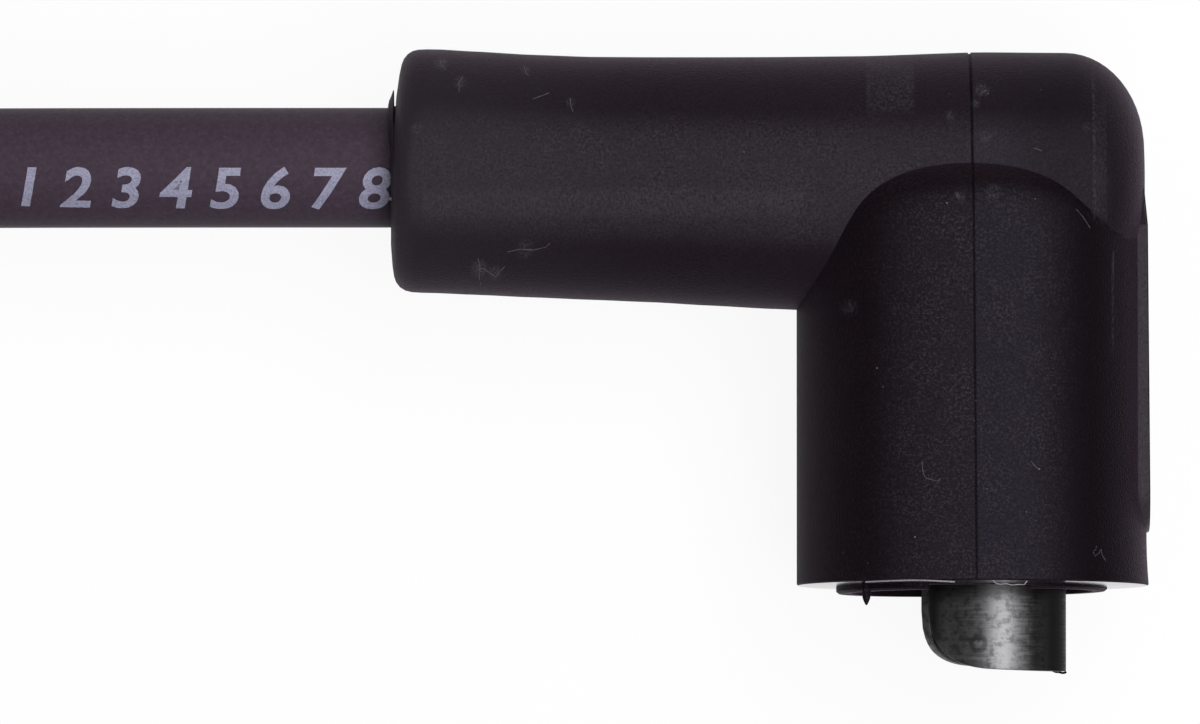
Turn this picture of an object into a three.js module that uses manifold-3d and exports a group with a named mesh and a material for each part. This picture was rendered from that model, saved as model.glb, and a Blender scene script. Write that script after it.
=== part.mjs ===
// Spark plug wire: a 7 mm ignition lead with a right angle rubber boot on its coil end and a
// straight rubber boot on its plug end. Millimetres, +Z up. The wire lies on its side on z = 0.
import * as THREE from 'three';
import { mergeVertices } from 'three/addons/utils/BufferGeometryUtils.js';
import Module from 'manifold-3d';

const wasm = await Module();
wasm.setup();

// Fit between touching pieces
const seatGap = 0.3;

// Lead
const leadDiameter = 7.0;
const insulationDiameter = 3.2;
const coreDiameter = 1.0;
const coreFoldLength = 5.0;

// Right angle boot: the leg that holds the lead
const legLength = 44.0;
const legMouthRadius = 7.03;
const legRootRadius = 7.8;
const legTilt = 1.6;
const legMouthDrop = 0.15;
const legMouthRound = 1.5;
const legMouthFaceRadius = 4.9;
const legStraight = 12.0;
const legEndRoundLong = 4.4;
const legEndRoundHigh = 5.6;

// Right angle boot: the tower that covers the coil post
const towerRadius = 10.2;
const towerAxisFromMouth = 33.9;
const towerRimDrop = 24.3;
const towerShoulderDrop = 4.1;
const towerDomeHeight = 6.2;
const towerBoreRadius = 7.0;
const towerBoreDepth = 14.5;
const lipRadius = 7.73;
const lipHeight = 0.35;

// Right angle boot: the raised pad on the tower's back
const padProud = 0.15;
const padWidth = 6.8;
const padTopDrop = 1.3;
const padBottomDrop = 21.3;
const padTipLength = 2.5;

// Terminals, each rolled and bent from one sheet
const sheet = 0.5;
const seamHalfAngle = 22;
const stripWidth = 4.0;
const stripBend = 2.0;
const crimpLength = 6.5;
const crimpFromMouth = 20.0;
const leadPastCrimp = 0.5;
const coilSleeveDiameter = 8.6;
const coilSleeveOffset = 1.2;
const coilSleeveLength = 19.0;
const coilSleeveReach = 5.05;
const coilSeamTurn = 6;
const coilCornerLong = 3.0;
const coilCornerWide = 2.7;
const plugSleeveDiameter = 7.6;
const plugSleeveLength = 14.0;
const plugNeckLength = 5.0;
const clipWire = 0.8;
const clipFromSleeveEnd = 5.0;
const clipLegSpacing = 5.8;

// Straight boot on the plug end
const plugBootLength = 70.0;
const plugBootNeckRadius = 6.5;
const plugBootFaceRadius = 5.2;
const plugBootRound = 1.2;
const plugBootBodyRadius = 8.4;
const plugBootMouthRadius = 9.6;
const plugBootTaperLength = 10.0;
const plugBootMouthLength = 12.0;
const plugBootBoreRadius = 6.3;
const plugBootBoreDepth = 27.0;
const plugChamberRadius = 5.4;
const gripRibCount = 5;
const gripRibPitch = 3.2;
const gripRibHeight = 0.9;
const gripRibWidth = 1.8;
const gripRibTop = 1.0;
const gripFromMouth = 5.0;

// Coil of the spare lead: its turns lie side by side, a lead apart
const coilOuterTurnRadius = 42.0;
const coilTurns = 1.5;
const coilCentre = [-92.0, -30.74];

// Place of the straight boot's lead end
const plugBootPlace = [-51.0, -62.24, plugBootMouthRadius];

// Route of the lead where it isn't coiled, in the part's frame
const nearRoute = [
  [-22.06, 11.26, 10.2],
  [-29, 11.26, 10.2],
  [-36, 11.26, 10.1],
  [-43, 11.26, 9.85],
  [-50, 11.26, 9.2],
  [-57, 11.26, 8.0],
  [-64, 11.26, 6.5],
  [-71, 11.26, 5.1],
  [-78, 11.26, 4.1],
];
const farRoute = [
  [-110, -56.6, 3.7],
  [-104, -59.85, 4.3],
  [-98, -61.65, 5.4],
  [-91, -62.24, 7.1],
  [-84, -62.24, 8.9],
  [-77, -62.24, 10.3],
  [-70, -62.24, 10.9],
  [-63, -62.24, 10.7],
  [-57, -62.24, 9.9],
  [-51.3, -62.24, 9.6],
];

const around = 48;
const aroundSmall = 24;
const aroundPlugBoot = 36;
const aroundLead = 12;
const aroundWire = 8;
const coreSteps = 28;
const clipSteps = 22;
const stepInDiameters = 2.5;

const rubber = new THREE.MeshStandardMaterial({ color: 0x2b252d, roughness: 0.55, metalness: 0 });
const jacketRubber = new THREE.MeshStandardMaterial({ color: 0x453a44, roughness: 0.45, metalness: 0 });
const paleRubber = new THREE.MeshStandardMaterial({ color: 0xb9b4aa, roughness: 0.6, metalness: 0 });
const corePlait = new THREE.MeshStandardMaterial({ color: 0x1c1c1e, roughness: 0.8, metalness: 0 });
const tinnedSheet = new THREE.MeshStandardMaterial({ color: 0x9a9a9a, roughness: 0.35, metalness: 1 });
const springWire = new THREE.MeshStandardMaterial({ color: 0xb0b2b5, roughness: 0.25, metalness: 1 });

const leadRadius = leadDiameter / 2;
const crimpRadius = leadRadius + seatGap + sheet;
const crimpEnd = crimpFromMouth + crimpLength;
const leadEnd = crimpEnd + leadPastCrimp;
const boreRadius = leadRadius + seatGap;
const crimpRoom = Math.hypot(crimpRadius, stripWidth / 2) + seatGap;
const cutPast = 1.0;
const degrees = THREE.MathUtils.degToRad;

// Solids for cutting and joining
function solidOf(geometry) {
  const bare = geometry.clone();
  bare.deleteAttribute('normal');
  bare.deleteAttribute('uv');
  const merged = mergeVertices(bare, 1e-5);
  const corners = merged.index.array;
  const kept = [];
  for (let i = 0; i < corners.length; i += 3) {
    const [a, b, c] = corners.slice(i, i + 3);
    if (a !== b && b !== c && c !== a) kept.push(a, b, c);
  }
  const vertProperties = new Float32Array(merged.attributes.position.array);
  return new wasm.Manifold(new wasm.Mesh({ numProp: 3, vertProperties, triVerts: new Uint32Array(kept) }));
}

function meshOf(name, solid, material) {
  const cut = solid.getMesh();
  const geometry = new THREE.BufferGeometry();
  geometry.setAttribute('position', new THREE.BufferAttribute(cut.vertProperties, 3));
  geometry.setIndex(new THREE.BufferAttribute(cut.triVerts, 1));
  geometry.computeVertexNormals();
  const mesh = new THREE.Mesh(geometry, material);
  mesh.name = name;
  return mesh;
}

function largestBody(solid) {
  return solid.decompose().reduce((best, body) => (body.volume() > best.volume() ? body : best));
}

// A profile of [along, radius] points, spun about +X
function turned(profile, sides) {
  const points = profile.map(([along, radius]) => new THREE.Vector2(radius, along));
  return solidOf(new THREE.LatheGeometry(points, sides).rotateZ(-Math.PI / 2));
}

function rod(from, to, radius, sides = around) {
  return turned([[from, 0], [from, radius], [to, radius], [to, 0]], sides);
}

function ellipsePoints(centreAlong, centreHigh, halfAlong, halfHigh, fromAngle, toAngle, steps) {
  const points = [];
  for (let i = 0; i <= steps; i++) {
    const angle = degrees(fromAngle + ((toAngle - fromAngle) * i) / steps);
    points.push([centreAlong + halfAlong * Math.cos(angle), centreHigh + halfHigh * Math.sin(angle)]);
  }
  return points;
}

function extrudedAlongZ(shape, depth, curveSegments) {
  const geometry = new THREE.ExtrudeGeometry(shape, { depth, bevelEnabled: false, curveSegments });
  return solidOf(geometry.translate(0, 0, -depth / 2));
}

// A sheet rolled round +X, with its open seam on the -Y side
function rolledSheet(outerRadius, from, to) {
  const start = degrees(-90 + seamHalfAngle);
  const end = degrees(270 - seamHalfAngle);
  const shape = new THREE.Shape();
  shape.absarc(0, 0, outerRadius, start, end, false);
  shape.absarc(0, 0, outerRadius - sheet, end, start, true);
  const geometry = new THREE.ExtrudeGeometry(shape, { depth: to - from, bevelEnabled: false, curveSegments: 20 });
  return solidOf(geometry.rotateY(Math.PI / 2).translate(from, 0, 0));
}

function tubeAlong(points, radius, steps, sides) {
  const curve = new THREE.CatmullRomCurve3(points.map((point) => new THREE.Vector3(...point)));
  const shape = new THREE.Shape();
  for (let i = 0; i < sides; i++) {
    const angle = (2 * Math.PI * i) / sides;
    const corner = [radius * Math.cos(angle), radius * Math.sin(angle)];
    if (i === 0) shape.moveTo(...corner);
    else shape.lineTo(...corner);
  }
  const options = { steps, extrudePath: curve, bevelEnabled: false };
  return solidOf(new THREE.ExtrudeGeometry(shape, options));
}

// Right angle boot, from the lead's mouth at x = 0, with the lead on +X and the tower down -Y
function legOuter() {
  const rootStart = legLength - legEndRoundLong;
  const flare = [];
  for (let i = 0; i <= 4; i++) {
    const share = i / 4;
    const radius = legMouthRadius + (legRootRadius - legMouthRadius) * share ** 1.5;
    flare.push([legStraight + (towerAxisFromMouth - legStraight) * share, radius]);
  }
  const profile = [
    [0, 0],
    ...ellipsePoints(legMouthRound, legMouthFaceRadius, legMouthRound,
      legMouthRadius - legMouthFaceRadius, 180, 90, 5),
    ...flare,
    ...ellipsePoints(rootStart, legRootRadius - legEndRoundHigh, legEndRoundLong, legEndRoundHigh, 90, 0, 8),
    [legLength, 0],
  ];
  return turned(profile, around).rotate([0, 0, -legTilt]).translate([0, -legMouthDrop, 0]);
}

function towerOuter() {
  const shoulder = towerRimDrop - towerShoulderDrop;
  const profile = [
    [-lipHeight, 0],
    [-lipHeight, lipRadius],
    [0, lipRadius],
    [0, towerRadius],
    ...ellipsePoints(shoulder, 0, towerDomeHeight, towerRadius, 90, 0, 10),
  ];
  return turned(profile, around).rotate([0, 0, 90]).translate([towerAxisFromMouth, -towerRimDrop, 0]);
}

// The pad ends in a rounded tip towards the tower's rim
function towerPad() {
  const half = padWidth / 2;
  const shape = new THREE.Shape();
  shape.moveTo(half, -padTopDrop);
  shape.lineTo(-half, -padTopDrop);
  shape.lineTo(-half, -padBottomDrop + padTipLength);
  shape.absellipse(0, -padBottomDrop + padTipLength, half, padTipLength, Math.PI, 2 * Math.PI, false, 0);
  const depth = towerRadius / 2;
  const geometry = new THREE.ExtrudeGeometry(shape, { depth, bevelEnabled: false, curveSegments: 6 });
  const back = towerAxisFromMouth + towerRadius + padProud - depth;
  return solidOf(geometry.rotateY(Math.PI / 2).translate(back, 0, 0));
}

function elbowBoot() {
  const sleeveX = towerAxisFromMouth + coilSleeveOffset;
  const boreTop = towerBoreDepth - towerRimDrop;
  const leadBore = rod(-cutPast, crimpFromMouth, boreRadius);
  const chamberEnd = sleeveX + coilSleeveDiameter / 2 + seatGap;
  const crimpChamber = rod(crimpFromMouth - seatGap, chamberEnd, crimpRoom);
  const sleeveChamber = rod(0, -boreTop + cutPast, crimpRoom)
    .rotate([0, 0, -90]).translate([sleeveX, 0, 0]);
  const towerBore = rod(-cutPast, towerBoreDepth, towerBoreRadius)
    .rotate([0, 0, 90]).translate([towerAxisFromMouth, -towerRimDrop, 0]);
  const outside = legOuter().add(towerOuter()).add(towerPad());
  const inside = leadBore.add(crimpChamber).add(sleeveChamber).add(towerBore);
  return outside.subtract(inside);
}

// The strip runs over the lead's end, bends down and becomes the sleeve's back
function bentStrip(from, back, bottom) {
  const top = crimpRadius;
  const shape = new THREE.Shape();
  shape.moveTo(from, top);
  shape.lineTo(from, top - sheet);
  shape.lineTo(back - stripBend, top - sheet);
  shape.absarc(back - stripBend, top - stripBend, stripBend - sheet, Math.PI / 2, 0, true);
  shape.lineTo(back - sheet, bottom);
  shape.lineTo(back, bottom);
  shape.absarc(back - stripBend, top - stripBend, stripBend, 0, Math.PI / 2, false);
  return extrudedAlongZ(shape, stripWidth, 8);
}

// The seam's free corners are rounded, so that the sleeve slides over the post
function sleeveCornerCut(length, radius) {
  const shape = new THREE.Shape();
  shape.moveTo(length + cutPast, -radius - cutPast);
  shape.lineTo(length + cutPast, -radius + coilCornerWide);
  shape.lineTo(length, -radius + coilCornerWide);
  for (const [along, high] of ellipsePoints(length - coilCornerLong, -radius + coilCornerWide,
    coilCornerLong, coilCornerWide, 0, -90, 10)) {
    shape.lineTo(along, high);
  }
  shape.lineTo(length - coilCornerLong, -radius - cutPast);
  return extrudedAlongZ(shape, 2 * radius + 2 * cutPast, 1);
}

function coilTerminal() {
  const radius = coilSleeveDiameter / 2;
  const sleeveX = towerAxisFromMouth + coilSleeveOffset;
  const bottom = -towerRimDrop - coilSleeveReach;
  const top = bottom + coilSleeveLength;
  const sleeve = rolledSheet(radius, 0, coilSleeveLength)
    .subtract(sleeveCornerCut(coilSleeveLength, radius))
    .rotate([-coilSeamTurn, 0, 0]).rotate([0, 0, -90]).translate([sleeveX, top, 0]);
  const strip = bentStrip(crimpEnd - cutPast, sleeveX + radius, top - cutPast);
  return rolledSheet(crimpRadius, crimpFromMouth, crimpEnd).add(strip).add(sleeve);
}

// Stripped end of the lead inside a boot: the core is folded back under the crimp
function coreRoute() {
  const foldStart = leadEnd + coreDiameter;
  const foldRadius = (leadRadius - coreDiameter / 2) / 2;
  const route = [];
  for (let i = 0; i <= 6; i++) route.push([seatGap + ((foldStart - seatGap) * i) / 6, 0, 0]);
  for (const [along, high] of ellipsePoints(foldStart, -foldRadius, foldRadius, foldRadius, 60, -90, 5)) {
    route.push([along, high, 0]);
  }
  for (let i = 1; i <= 3; i++) route.push([foldStart - (coreFoldLength * i) / 3, -2 * foldRadius, 0]);
  return route;
}

function leadEndPieces(name) {
  const insulationRadius = insulationDiameter / 2;
  const coreRadius = coreDiameter / 2;
  const core = tubeAlong(coreRoute(), coreRadius, coreSteps, aroundWire);
  const coreRoom = tubeAlong(coreRoute(), coreRadius + seatGap, coreSteps, aroundWire);
  const jacket = rod(seatGap, leadEnd, leadRadius, aroundSmall)
    .subtract(rod(-cutPast, leadEnd + cutPast, insulationRadius + seatGap, aroundSmall))
    .subtract(coreRoom);
  const insulation = rod(seatGap, leadEnd + coreDiameter / 2, insulationRadius, aroundSmall)
    .subtract(rod(-cutPast, leadEnd + 2 * cutPast, coreRadius + seatGap, aroundLead));
  return [
    meshOf(`lead_jacket_${name}`, jacket, jacketRubber),
    meshOf(`lead_insulation_${name}`, insulation, paleRubber),
    meshOf(`lead_core_${name}`, core, corePlait),
  ];
}

// Straight boot, from the lead's mouth at x = 0 to the plug's mouth
function plugBoot() {
  const ribs = [];
  for (let i = 0; i < gripRibCount; i++) {
    const middle = gripFromMouth + i * gripRibPitch;
    ribs.push(
      [middle - gripRibWidth / 2, plugBootNeckRadius],
      [middle - gripRibTop / 2, plugBootNeckRadius + gripRibHeight],
      [middle + gripRibTop / 2, plugBootNeckRadius + gripRibHeight],
      [middle + gripRibWidth / 2, plugBootNeckRadius],
    );
  }
  const gripEnd = gripFromMouth + gripRibCount * gripRibPitch;
  const collar = plugBootLength - plugBootMouthLength;
  const profile = [
    [0, 0],
    ...ellipsePoints(plugBootRound, plugBootFaceRadius, plugBootRound,
      plugBootNeckRadius - plugBootFaceRadius, 180, 90, 4),
    ...ribs,
    [gripEnd, plugBootNeckRadius],
    [gripEnd + plugBootTaperLength, plugBootBodyRadius],
    [collar - plugBootRound, plugBootBodyRadius],
    ...ellipsePoints(collar + plugBootRound, plugBootMouthRadius - plugBootRound, plugBootRound,
      plugBootRound, 180, 90, 3),
    ...ellipsePoints(plugBootLength - plugBootRound / 2, plugBootMouthRadius - plugBootRound / 2,
      plugBootRound / 2, plugBootRound / 2, 90, 0, 3),
    [plugBootLength, 0],
  ];
  const boreStart = plugBootLength - plugBootBoreDepth;
  return turned(profile, aroundPlugBoot)
    .subtract(rod(-cutPast, crimpFromMouth, boreRadius, aroundSmall))
    .subtract(rod(crimpFromMouth - seatGap, crimpEnd + cutPast, crimpRoom, aroundSmall))
    .subtract(rod(crimpEnd + seatGap, boreStart + cutPast, plugChamberRadius, aroundSmall))
    .subtract(rod(boreStart, plugBootLength + cutPast, plugBootBoreRadius, aroundPlugBoot));
}

function plugTerminal() {
  const radius = plugSleeveDiameter / 2;
  const sleeveStart = crimpEnd + plugNeckLength;
  const sleeveEnd = sleeveStart + plugSleeveLength;
  const shape = new THREE.Shape();
  shape.moveTo(crimpEnd - cutPast, crimpRadius);
  shape.lineTo(crimpEnd - cutPast, crimpRadius - sheet);
  shape.lineTo(crimpEnd + cutPast, crimpRadius - sheet);
  shape.lineTo(sleeveStart - cutPast, radius - sheet);
  shape.lineTo(sleeveStart + cutPast, radius - sheet);
  shape.lineTo(sleeveStart + cutPast, radius);
  shape.lineTo(sleeveStart - cutPast, radius);
  shape.lineTo(crimpEnd + cutPast, crimpRadius);
  const clipX = sleeveEnd - clipFromSleeveEnd;
  const slotHalf = clipWire / 2 + seatGap;
  const slots = [1, -1].map((side) => {
    const slot = new THREE.BoxGeometry(2 * slotHalf, 2 * slotHalf, plugSleeveDiameter + cutPast);
    return solidOf(slot.translate(clipX, (side * clipLegSpacing) / 2, 0));
  });
  return rolledSheet(crimpRadius, crimpFromMouth, crimpEnd)
    .add(extrudedAlongZ(shape, stripWidth, 1))
    .add(rolledSheet(radius, sleeveStart, sleeveEnd))
    .subtract(slots[0])
    .subtract(slots[1]);
}

// A hairpin of spring wire: its legs cross the sleeve and snap into the plug nut's groove
function plugClip() {
  const x = crimpEnd + plugNeckLength + plugSleeveLength - clipFromSleeveEnd;
  const leg = clipLegSpacing / 2;
  const over = plugSleeveDiameter / 2 + seatGap + clipWire / 2;
  const route = [
    [x, leg, -over + clipWire],
    [x, leg, 0],
    [x, leg, over - clipWire],
    [x, leg * 0.76, over - 0.3 * clipWire],
    [x, 0, over],
    [x, -leg * 0.76, over - 0.3 * clipWire],
    [x, -leg, over - clipWire],
    [x, -leg, 0],
    [x, -leg, -over + clipWire],
  ];
  return tubeAlong(route, clipWire / 2, clipSteps, aroundWire);
}

// Coil of the spare lead as one ring, and the tubes that lead in and out of it
function coilRing(grow) {
  const outer = coilOuterTurnRadius + leadRadius + grow;
  const inner = coilOuterTurnRadius - coilTurns * leadDiameter - leadRadius - grow;
  const high = leadRadius + grow;
  const profile = [
    ...ellipsePoints(inner + high, leadRadius, high, high, 180, 90, 3),
    ...ellipsePoints(outer - high, leadRadius, high, high, 90, -90, 6),
    ...ellipsePoints(inner + high, leadRadius, high, high, 270, 180, 3),
  ].map(([radius, height]) => new THREE.Vector2(radius, height));
  const geometry = new THREE.LatheGeometry(profile.reverse(), around);
  return solidOf(geometry.rotateX(Math.PI / 2)).translate([...coilCentre, 0]);
}

function leadTube(route) {
  const length = new THREE.CatmullRomCurve3(route.map((point) => new THREE.Vector3(...point))).getLength();
  const steps = Math.ceil(length / (stepInDiameters * leadDiameter));
  return largestBody(tubeAlong(route, leadRadius, 2 * steps, aroundLead).subtract(coilRing(seatGap)));
}

const coilEnd = new THREE.Group();
coilEnd.add(
  meshOf('elbow_boot', elbowBoot(), rubber),
  meshOf('coil_terminal', coilTerminal(), tinnedSheet),
  ...leadEndPieces('coil_end'),
);
const coilEndBox = new THREE.Box3().setFromObject(coilEnd);
const coilEndMiddle = coilEndBox.getCenter(new THREE.Vector3());
coilEnd.position.set(-coilEndMiddle.x, -coilEndMiddle.y, -coilEndBox.min.z);

const plugEnd = new THREE.Group();
plugEnd.add(
  meshOf('plug_boot', plugBoot(), rubber),
  meshOf('plug_terminal', plugTerminal(), tinnedSheet),
  meshOf('plug_terminal_clip', plugClip(), springWire),
  ...leadEndPieces('plug_end'),
);
plugEnd.position.set(...plugBootPlace);

const group = new THREE.Group();
group.add(
  coilEnd,
  plugEnd,
  meshOf('lead_near', leadTube(nearRoute), jacketRubber),
  meshOf('lead_coil', coilRing(0), jacketRubber),
  meshOf('lead_far', leadTube(farRoute), jacketRubber),
);

export default group;
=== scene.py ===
# %% [markdown]
# A spark plug wire that lies on its side.
#
# The coil end fills the picture: a right-angle rubber boot, the lead that goes into its leg and the
# tinned sleeve that stands out of its tower. The spare lead is coiled flat to the left of the view,
# and a straight boot ends it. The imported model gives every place, so nothing here is fitted by eye.

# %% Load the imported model
import math

import bmesh
import bpy
from mathutils import Matrix, Vector
from mathutils.bvhtree import BVHTree


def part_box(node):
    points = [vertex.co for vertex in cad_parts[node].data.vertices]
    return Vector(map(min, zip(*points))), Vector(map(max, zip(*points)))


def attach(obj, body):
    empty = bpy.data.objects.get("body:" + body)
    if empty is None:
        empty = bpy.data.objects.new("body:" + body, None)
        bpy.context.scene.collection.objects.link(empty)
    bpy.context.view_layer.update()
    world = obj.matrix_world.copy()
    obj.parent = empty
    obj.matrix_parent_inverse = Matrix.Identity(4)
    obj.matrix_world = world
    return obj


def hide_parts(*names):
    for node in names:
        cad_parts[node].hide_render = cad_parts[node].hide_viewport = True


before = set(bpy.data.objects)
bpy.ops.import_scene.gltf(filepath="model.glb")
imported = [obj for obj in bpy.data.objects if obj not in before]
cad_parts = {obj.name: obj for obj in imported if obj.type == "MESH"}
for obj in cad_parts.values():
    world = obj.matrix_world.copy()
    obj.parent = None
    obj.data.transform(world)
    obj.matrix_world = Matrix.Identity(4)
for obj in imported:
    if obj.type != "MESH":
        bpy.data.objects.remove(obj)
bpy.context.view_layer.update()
MM = 0.001
print("loaded", len(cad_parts), "nodes")

# %% [markdown]
# The pieces are modelled in millimetres round the mouth of the boot's leg, as a pattern maker would
# measure them, and moved to their place in metres at the end. The lead's jacket tells where that
# mouth is, because it starts one clearance inside it.

# %% Places that the frame gives
SEAT_GAP = 0.3


def mouth_of(jacket_node):
    low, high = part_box(jacket_node)
    return Vector((low[0] - SEAT_GAP * MM, (low[1] + high[1]) / 2, (low[2] + high[2]) / 2))


COIL_MOUTH = mouth_of("lead_jacket_coil_end")
PLUG_MOUTH = mouth_of("lead_jacket_plug_end")
LEAD_RADIUS = 3.5
print("boot mouths at", tuple(COIL_MOUTH), tuple(PLUG_MOUTH))

# %% [markdown]
# The camera comes first. The photograph shows 70 mm of the wire's width, seen from straight above
# but a few degrees from the sleeve's side, so that the tower's rim just shows. A long lens keeps the
# leg and the tower free of perspective.

# %% Camera
PHOTO_WIDTH = 1200
PHOTO_LEAD_PIXELS = 120
PHOTO_CENTRE = (600, 362)
PHOTO_MOUTH = (390.3, 167.5)
CAMERA_TILT = math.radians(2.5)
CAMERA_LENS = 600
CAMERA_NEAR = 0.05

pixel = 2 * LEAD_RADIUS * MM / PHOTO_LEAD_PIXELS
view_target = COIL_MOUTH + Vector((
    (PHOTO_CENTRE[0] - PHOTO_MOUTH[0]) * pixel,
    (PHOTO_MOUTH[1] - PHOTO_CENTRE[1]) * pixel,
    0,
))
camera_data = bpy.data.cameras.new("camera")
camera_data.lens = CAMERA_LENS
camera_data.clip_start = CAMERA_NEAR
camera = bpy.data.objects.new("camera", camera_data)
camera_far = PHOTO_WIDTH * pixel * CAMERA_LENS / camera_data.sensor_width
camera.location = view_target + camera_far * Vector((0, -math.sin(CAMERA_TILT), math.cos(CAMERA_TILT)))
camera.rotation_euler = (CAMERA_TILT, 0, 0)
bpy.context.collection.objects.link(camera)
bpy.context.scene.camera = camera
print("camera is", round(camera_far, 3), "m away")

# %% [markdown]
# The lead is one curve. Its points repeat the route of the solids: level out of the boot, down to the
# surface, one and a half turns side by side, then up and over the outer turn to the straight boot.
# A curve with a round bevel keeps the diameter true everywhere.

# %% Lead
COIL_CENTRE = (-92.0, -30.74)
COIL_OUTER_TURN = 42.0
COIL_TURNS = 1.5
POINTS_A_TURN = 24
CURVE_STEPS = 6
CURVE_SIDES = 10
near_route = [
    (-21.78, 11.26, 10.2), (-25.5, 11.26, 10.2), (-29, 11.26, 10.2), (-36, 11.26, 10.1), (-43, 11.26, 9.85),
    (-50, 11.26, 9.2), (-57, 11.26, 8.0), (-64, 11.26, 6.5), (-71, 11.26, 5.1), (-78, 11.26, 4.1),
    (-85, 11.26, 3.6),
]
far_route = [
    (-110, -56.6, 3.7), (-104, -59.85, 4.3), (-98, -61.65, 5.4), (-91, -62.24, 7.1), (-84, -62.24, 8.9),
    (-77, -62.24, 10.3), (-70, -62.24, 10.9), (-63, -62.24, 10.7), (-57, -62.24, 9.9),
    (-50.73, -62.24, 9.6),
]


def coil_points():
    points = []
    last = round(COIL_TURNS * POINTS_A_TURN) - 2
    for i in range(last):
        turned = i / POINTS_A_TURN
        angle = math.pi / 2 + 2 * math.pi * turned
        radius = COIL_OUTER_TURN - 2 * LEAD_RADIUS * turned
        x = COIL_CENTRE[0] + radius * math.cos(angle)
        points.append((x, COIL_CENTRE[1] + radius * math.sin(angle), LEAD_RADIUS))
    return points


def smooth_curve(name, points, radius):
    """A round curve through points in millimetres. Its knots carry the radius, so its bevel is 1."""
    data = bpy.data.curves.new(name, "CURVE")
    data.dimensions = "3D"
    data.bevel_depth = 1.0
    data.bevel_resolution = CURVE_SIDES
    data.use_fill_caps = True
    data.resolution_u = CURVE_STEPS
    spline = data.splines.new("BEZIER")
    spline.bezier_points.add(len(points) - 1)
    for knot, point in zip(spline.bezier_points, points):
        knot.co = Vector(point) * MM
        knot.radius = radius * MM
        knot.handle_left_type = "AUTO"
        knot.handle_right_type = "AUTO"
    piece = bpy.data.objects.new(name, data)
    bpy.context.collection.objects.link(piece)
    return piece


lead = smooth_curve("lead", near_route + coil_points() + far_route, LEAD_RADIUS)
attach(lead, "root")
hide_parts("lead_near", "lead_coil", "lead_far")
print("lead has", len(lead.data.splines[0].bezier_points), "points")

# %% [markdown]
# Rubber and sheet metal are both easiest to make from a profile, which is a list of points along an
# axis and out from it. The spin turns it about X. It may come out inside out, so its doubles are
# merged and its normals turned outwards.

# %% Helpers: a spun profile
MERGE_DISTANCE = 0.0005
SKIN_STEPS = 128
TOOL_STEPS = 96


def piece_from(name, bm):
    mesh = bpy.data.meshes.new(name)
    bm.to_mesh(mesh)
    bm.free()
    piece = bpy.data.objects.new(name, mesh)
    bpy.context.collection.objects.link(piece)
    return piece


def spun(name, profile, steps):
    """A profile of (along, radius) points, spun about X."""
    bm = bmesh.new()
    verts = [bm.verts.new((along, radius, 0)) for along, radius in profile]
    edges = [bm.edges.new(pair) for pair in zip(verts, verts[1:])]
    bmesh.ops.spin(bm, geom=verts + edges, cent=(0, 0, 0), axis=(1, 0, 0), dvec=(0, 0, 0),
                   angle=2 * math.pi, steps=steps, use_merge=True, use_duplicate=False)
    bmesh.ops.remove_doubles(bm, verts=bm.verts, dist=MERGE_DISTANCE)
    bmesh.ops.recalc_face_normals(bm, faces=bm.faces)
    return piece_from(name, bm)


def arc(centre, half_along, half_high, start, end, steps):
    """Points of an ellipse as (along, radius), from one angle to another."""
    points = []
    for i in range(steps + 1):
        angle = math.radians(start + (end - start) * i / steps)
        points.append((centre[0] + half_along * math.cos(angle), centre[1] + half_high * math.sin(angle)))
    return points


# %% [markdown]
# The rest is joined and cut, as a tool maker would. Each boolean is applied at once, so that the next
# one meets a plain mesh. A piece stays at the origin, and its place goes into its mesh.

# %% Helpers: join, cut and place
def finished_mesh(piece):
    """The piece's mesh with its modifiers, or a curve or a text as a mesh."""
    graph = bpy.context.evaluated_depsgraph_get()
    return bpy.data.meshes.new_from_object(piece.evaluated_get(graph))


def settle(piece):
    """Applies what modifiers the piece has."""
    mesh = finished_mesh(piece)
    piece.modifiers.clear()
    piece.data = mesh


def carve(piece, tool, operation):
    """Joins the tool to the piece or cuts it out, and removes the tool."""
    modifier = piece.modifiers.new(operation.lower(), "BOOLEAN")
    modifier.operation = operation
    modifier.solver = "EXACT"
    modifier.object = tool
    settle(piece)
    bpy.data.objects.remove(tool)


def move(piece, turn=(0, 0, 0), by=(0, 0, 0)):
    matrix = Matrix.Translation(by)
    for angle, axis in zip(turn, "XYZ"):
        matrix = matrix @ Matrix.Rotation(math.radians(angle), 4, axis)
    piece.data.transform(matrix)
    return piece


def place(piece, mouth):
    """Takes a piece from millimetres round a mouth to its place in metres."""
    piece.data.transform(Matrix.Translation(mouth) @ Matrix.Scale(MM, 4))


def smooth(piece, angle):
    piece.data.shade_smooth()
    piece.data.set_sharp_from_angle(angle=math.radians(angle))


# %% [markdown]
# The right-angle boot is one moulding. Its leg isn't a true cylinder: it swells at the mouth, is
# slimmest a third of the way along and grows towards the tower, and its middle line drops a little.
# So the leg is spun from a straight profile, and each ring is then moved to the middle line. A search
# tree of its skin is kept, to tell its faces from the tower's later.

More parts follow.
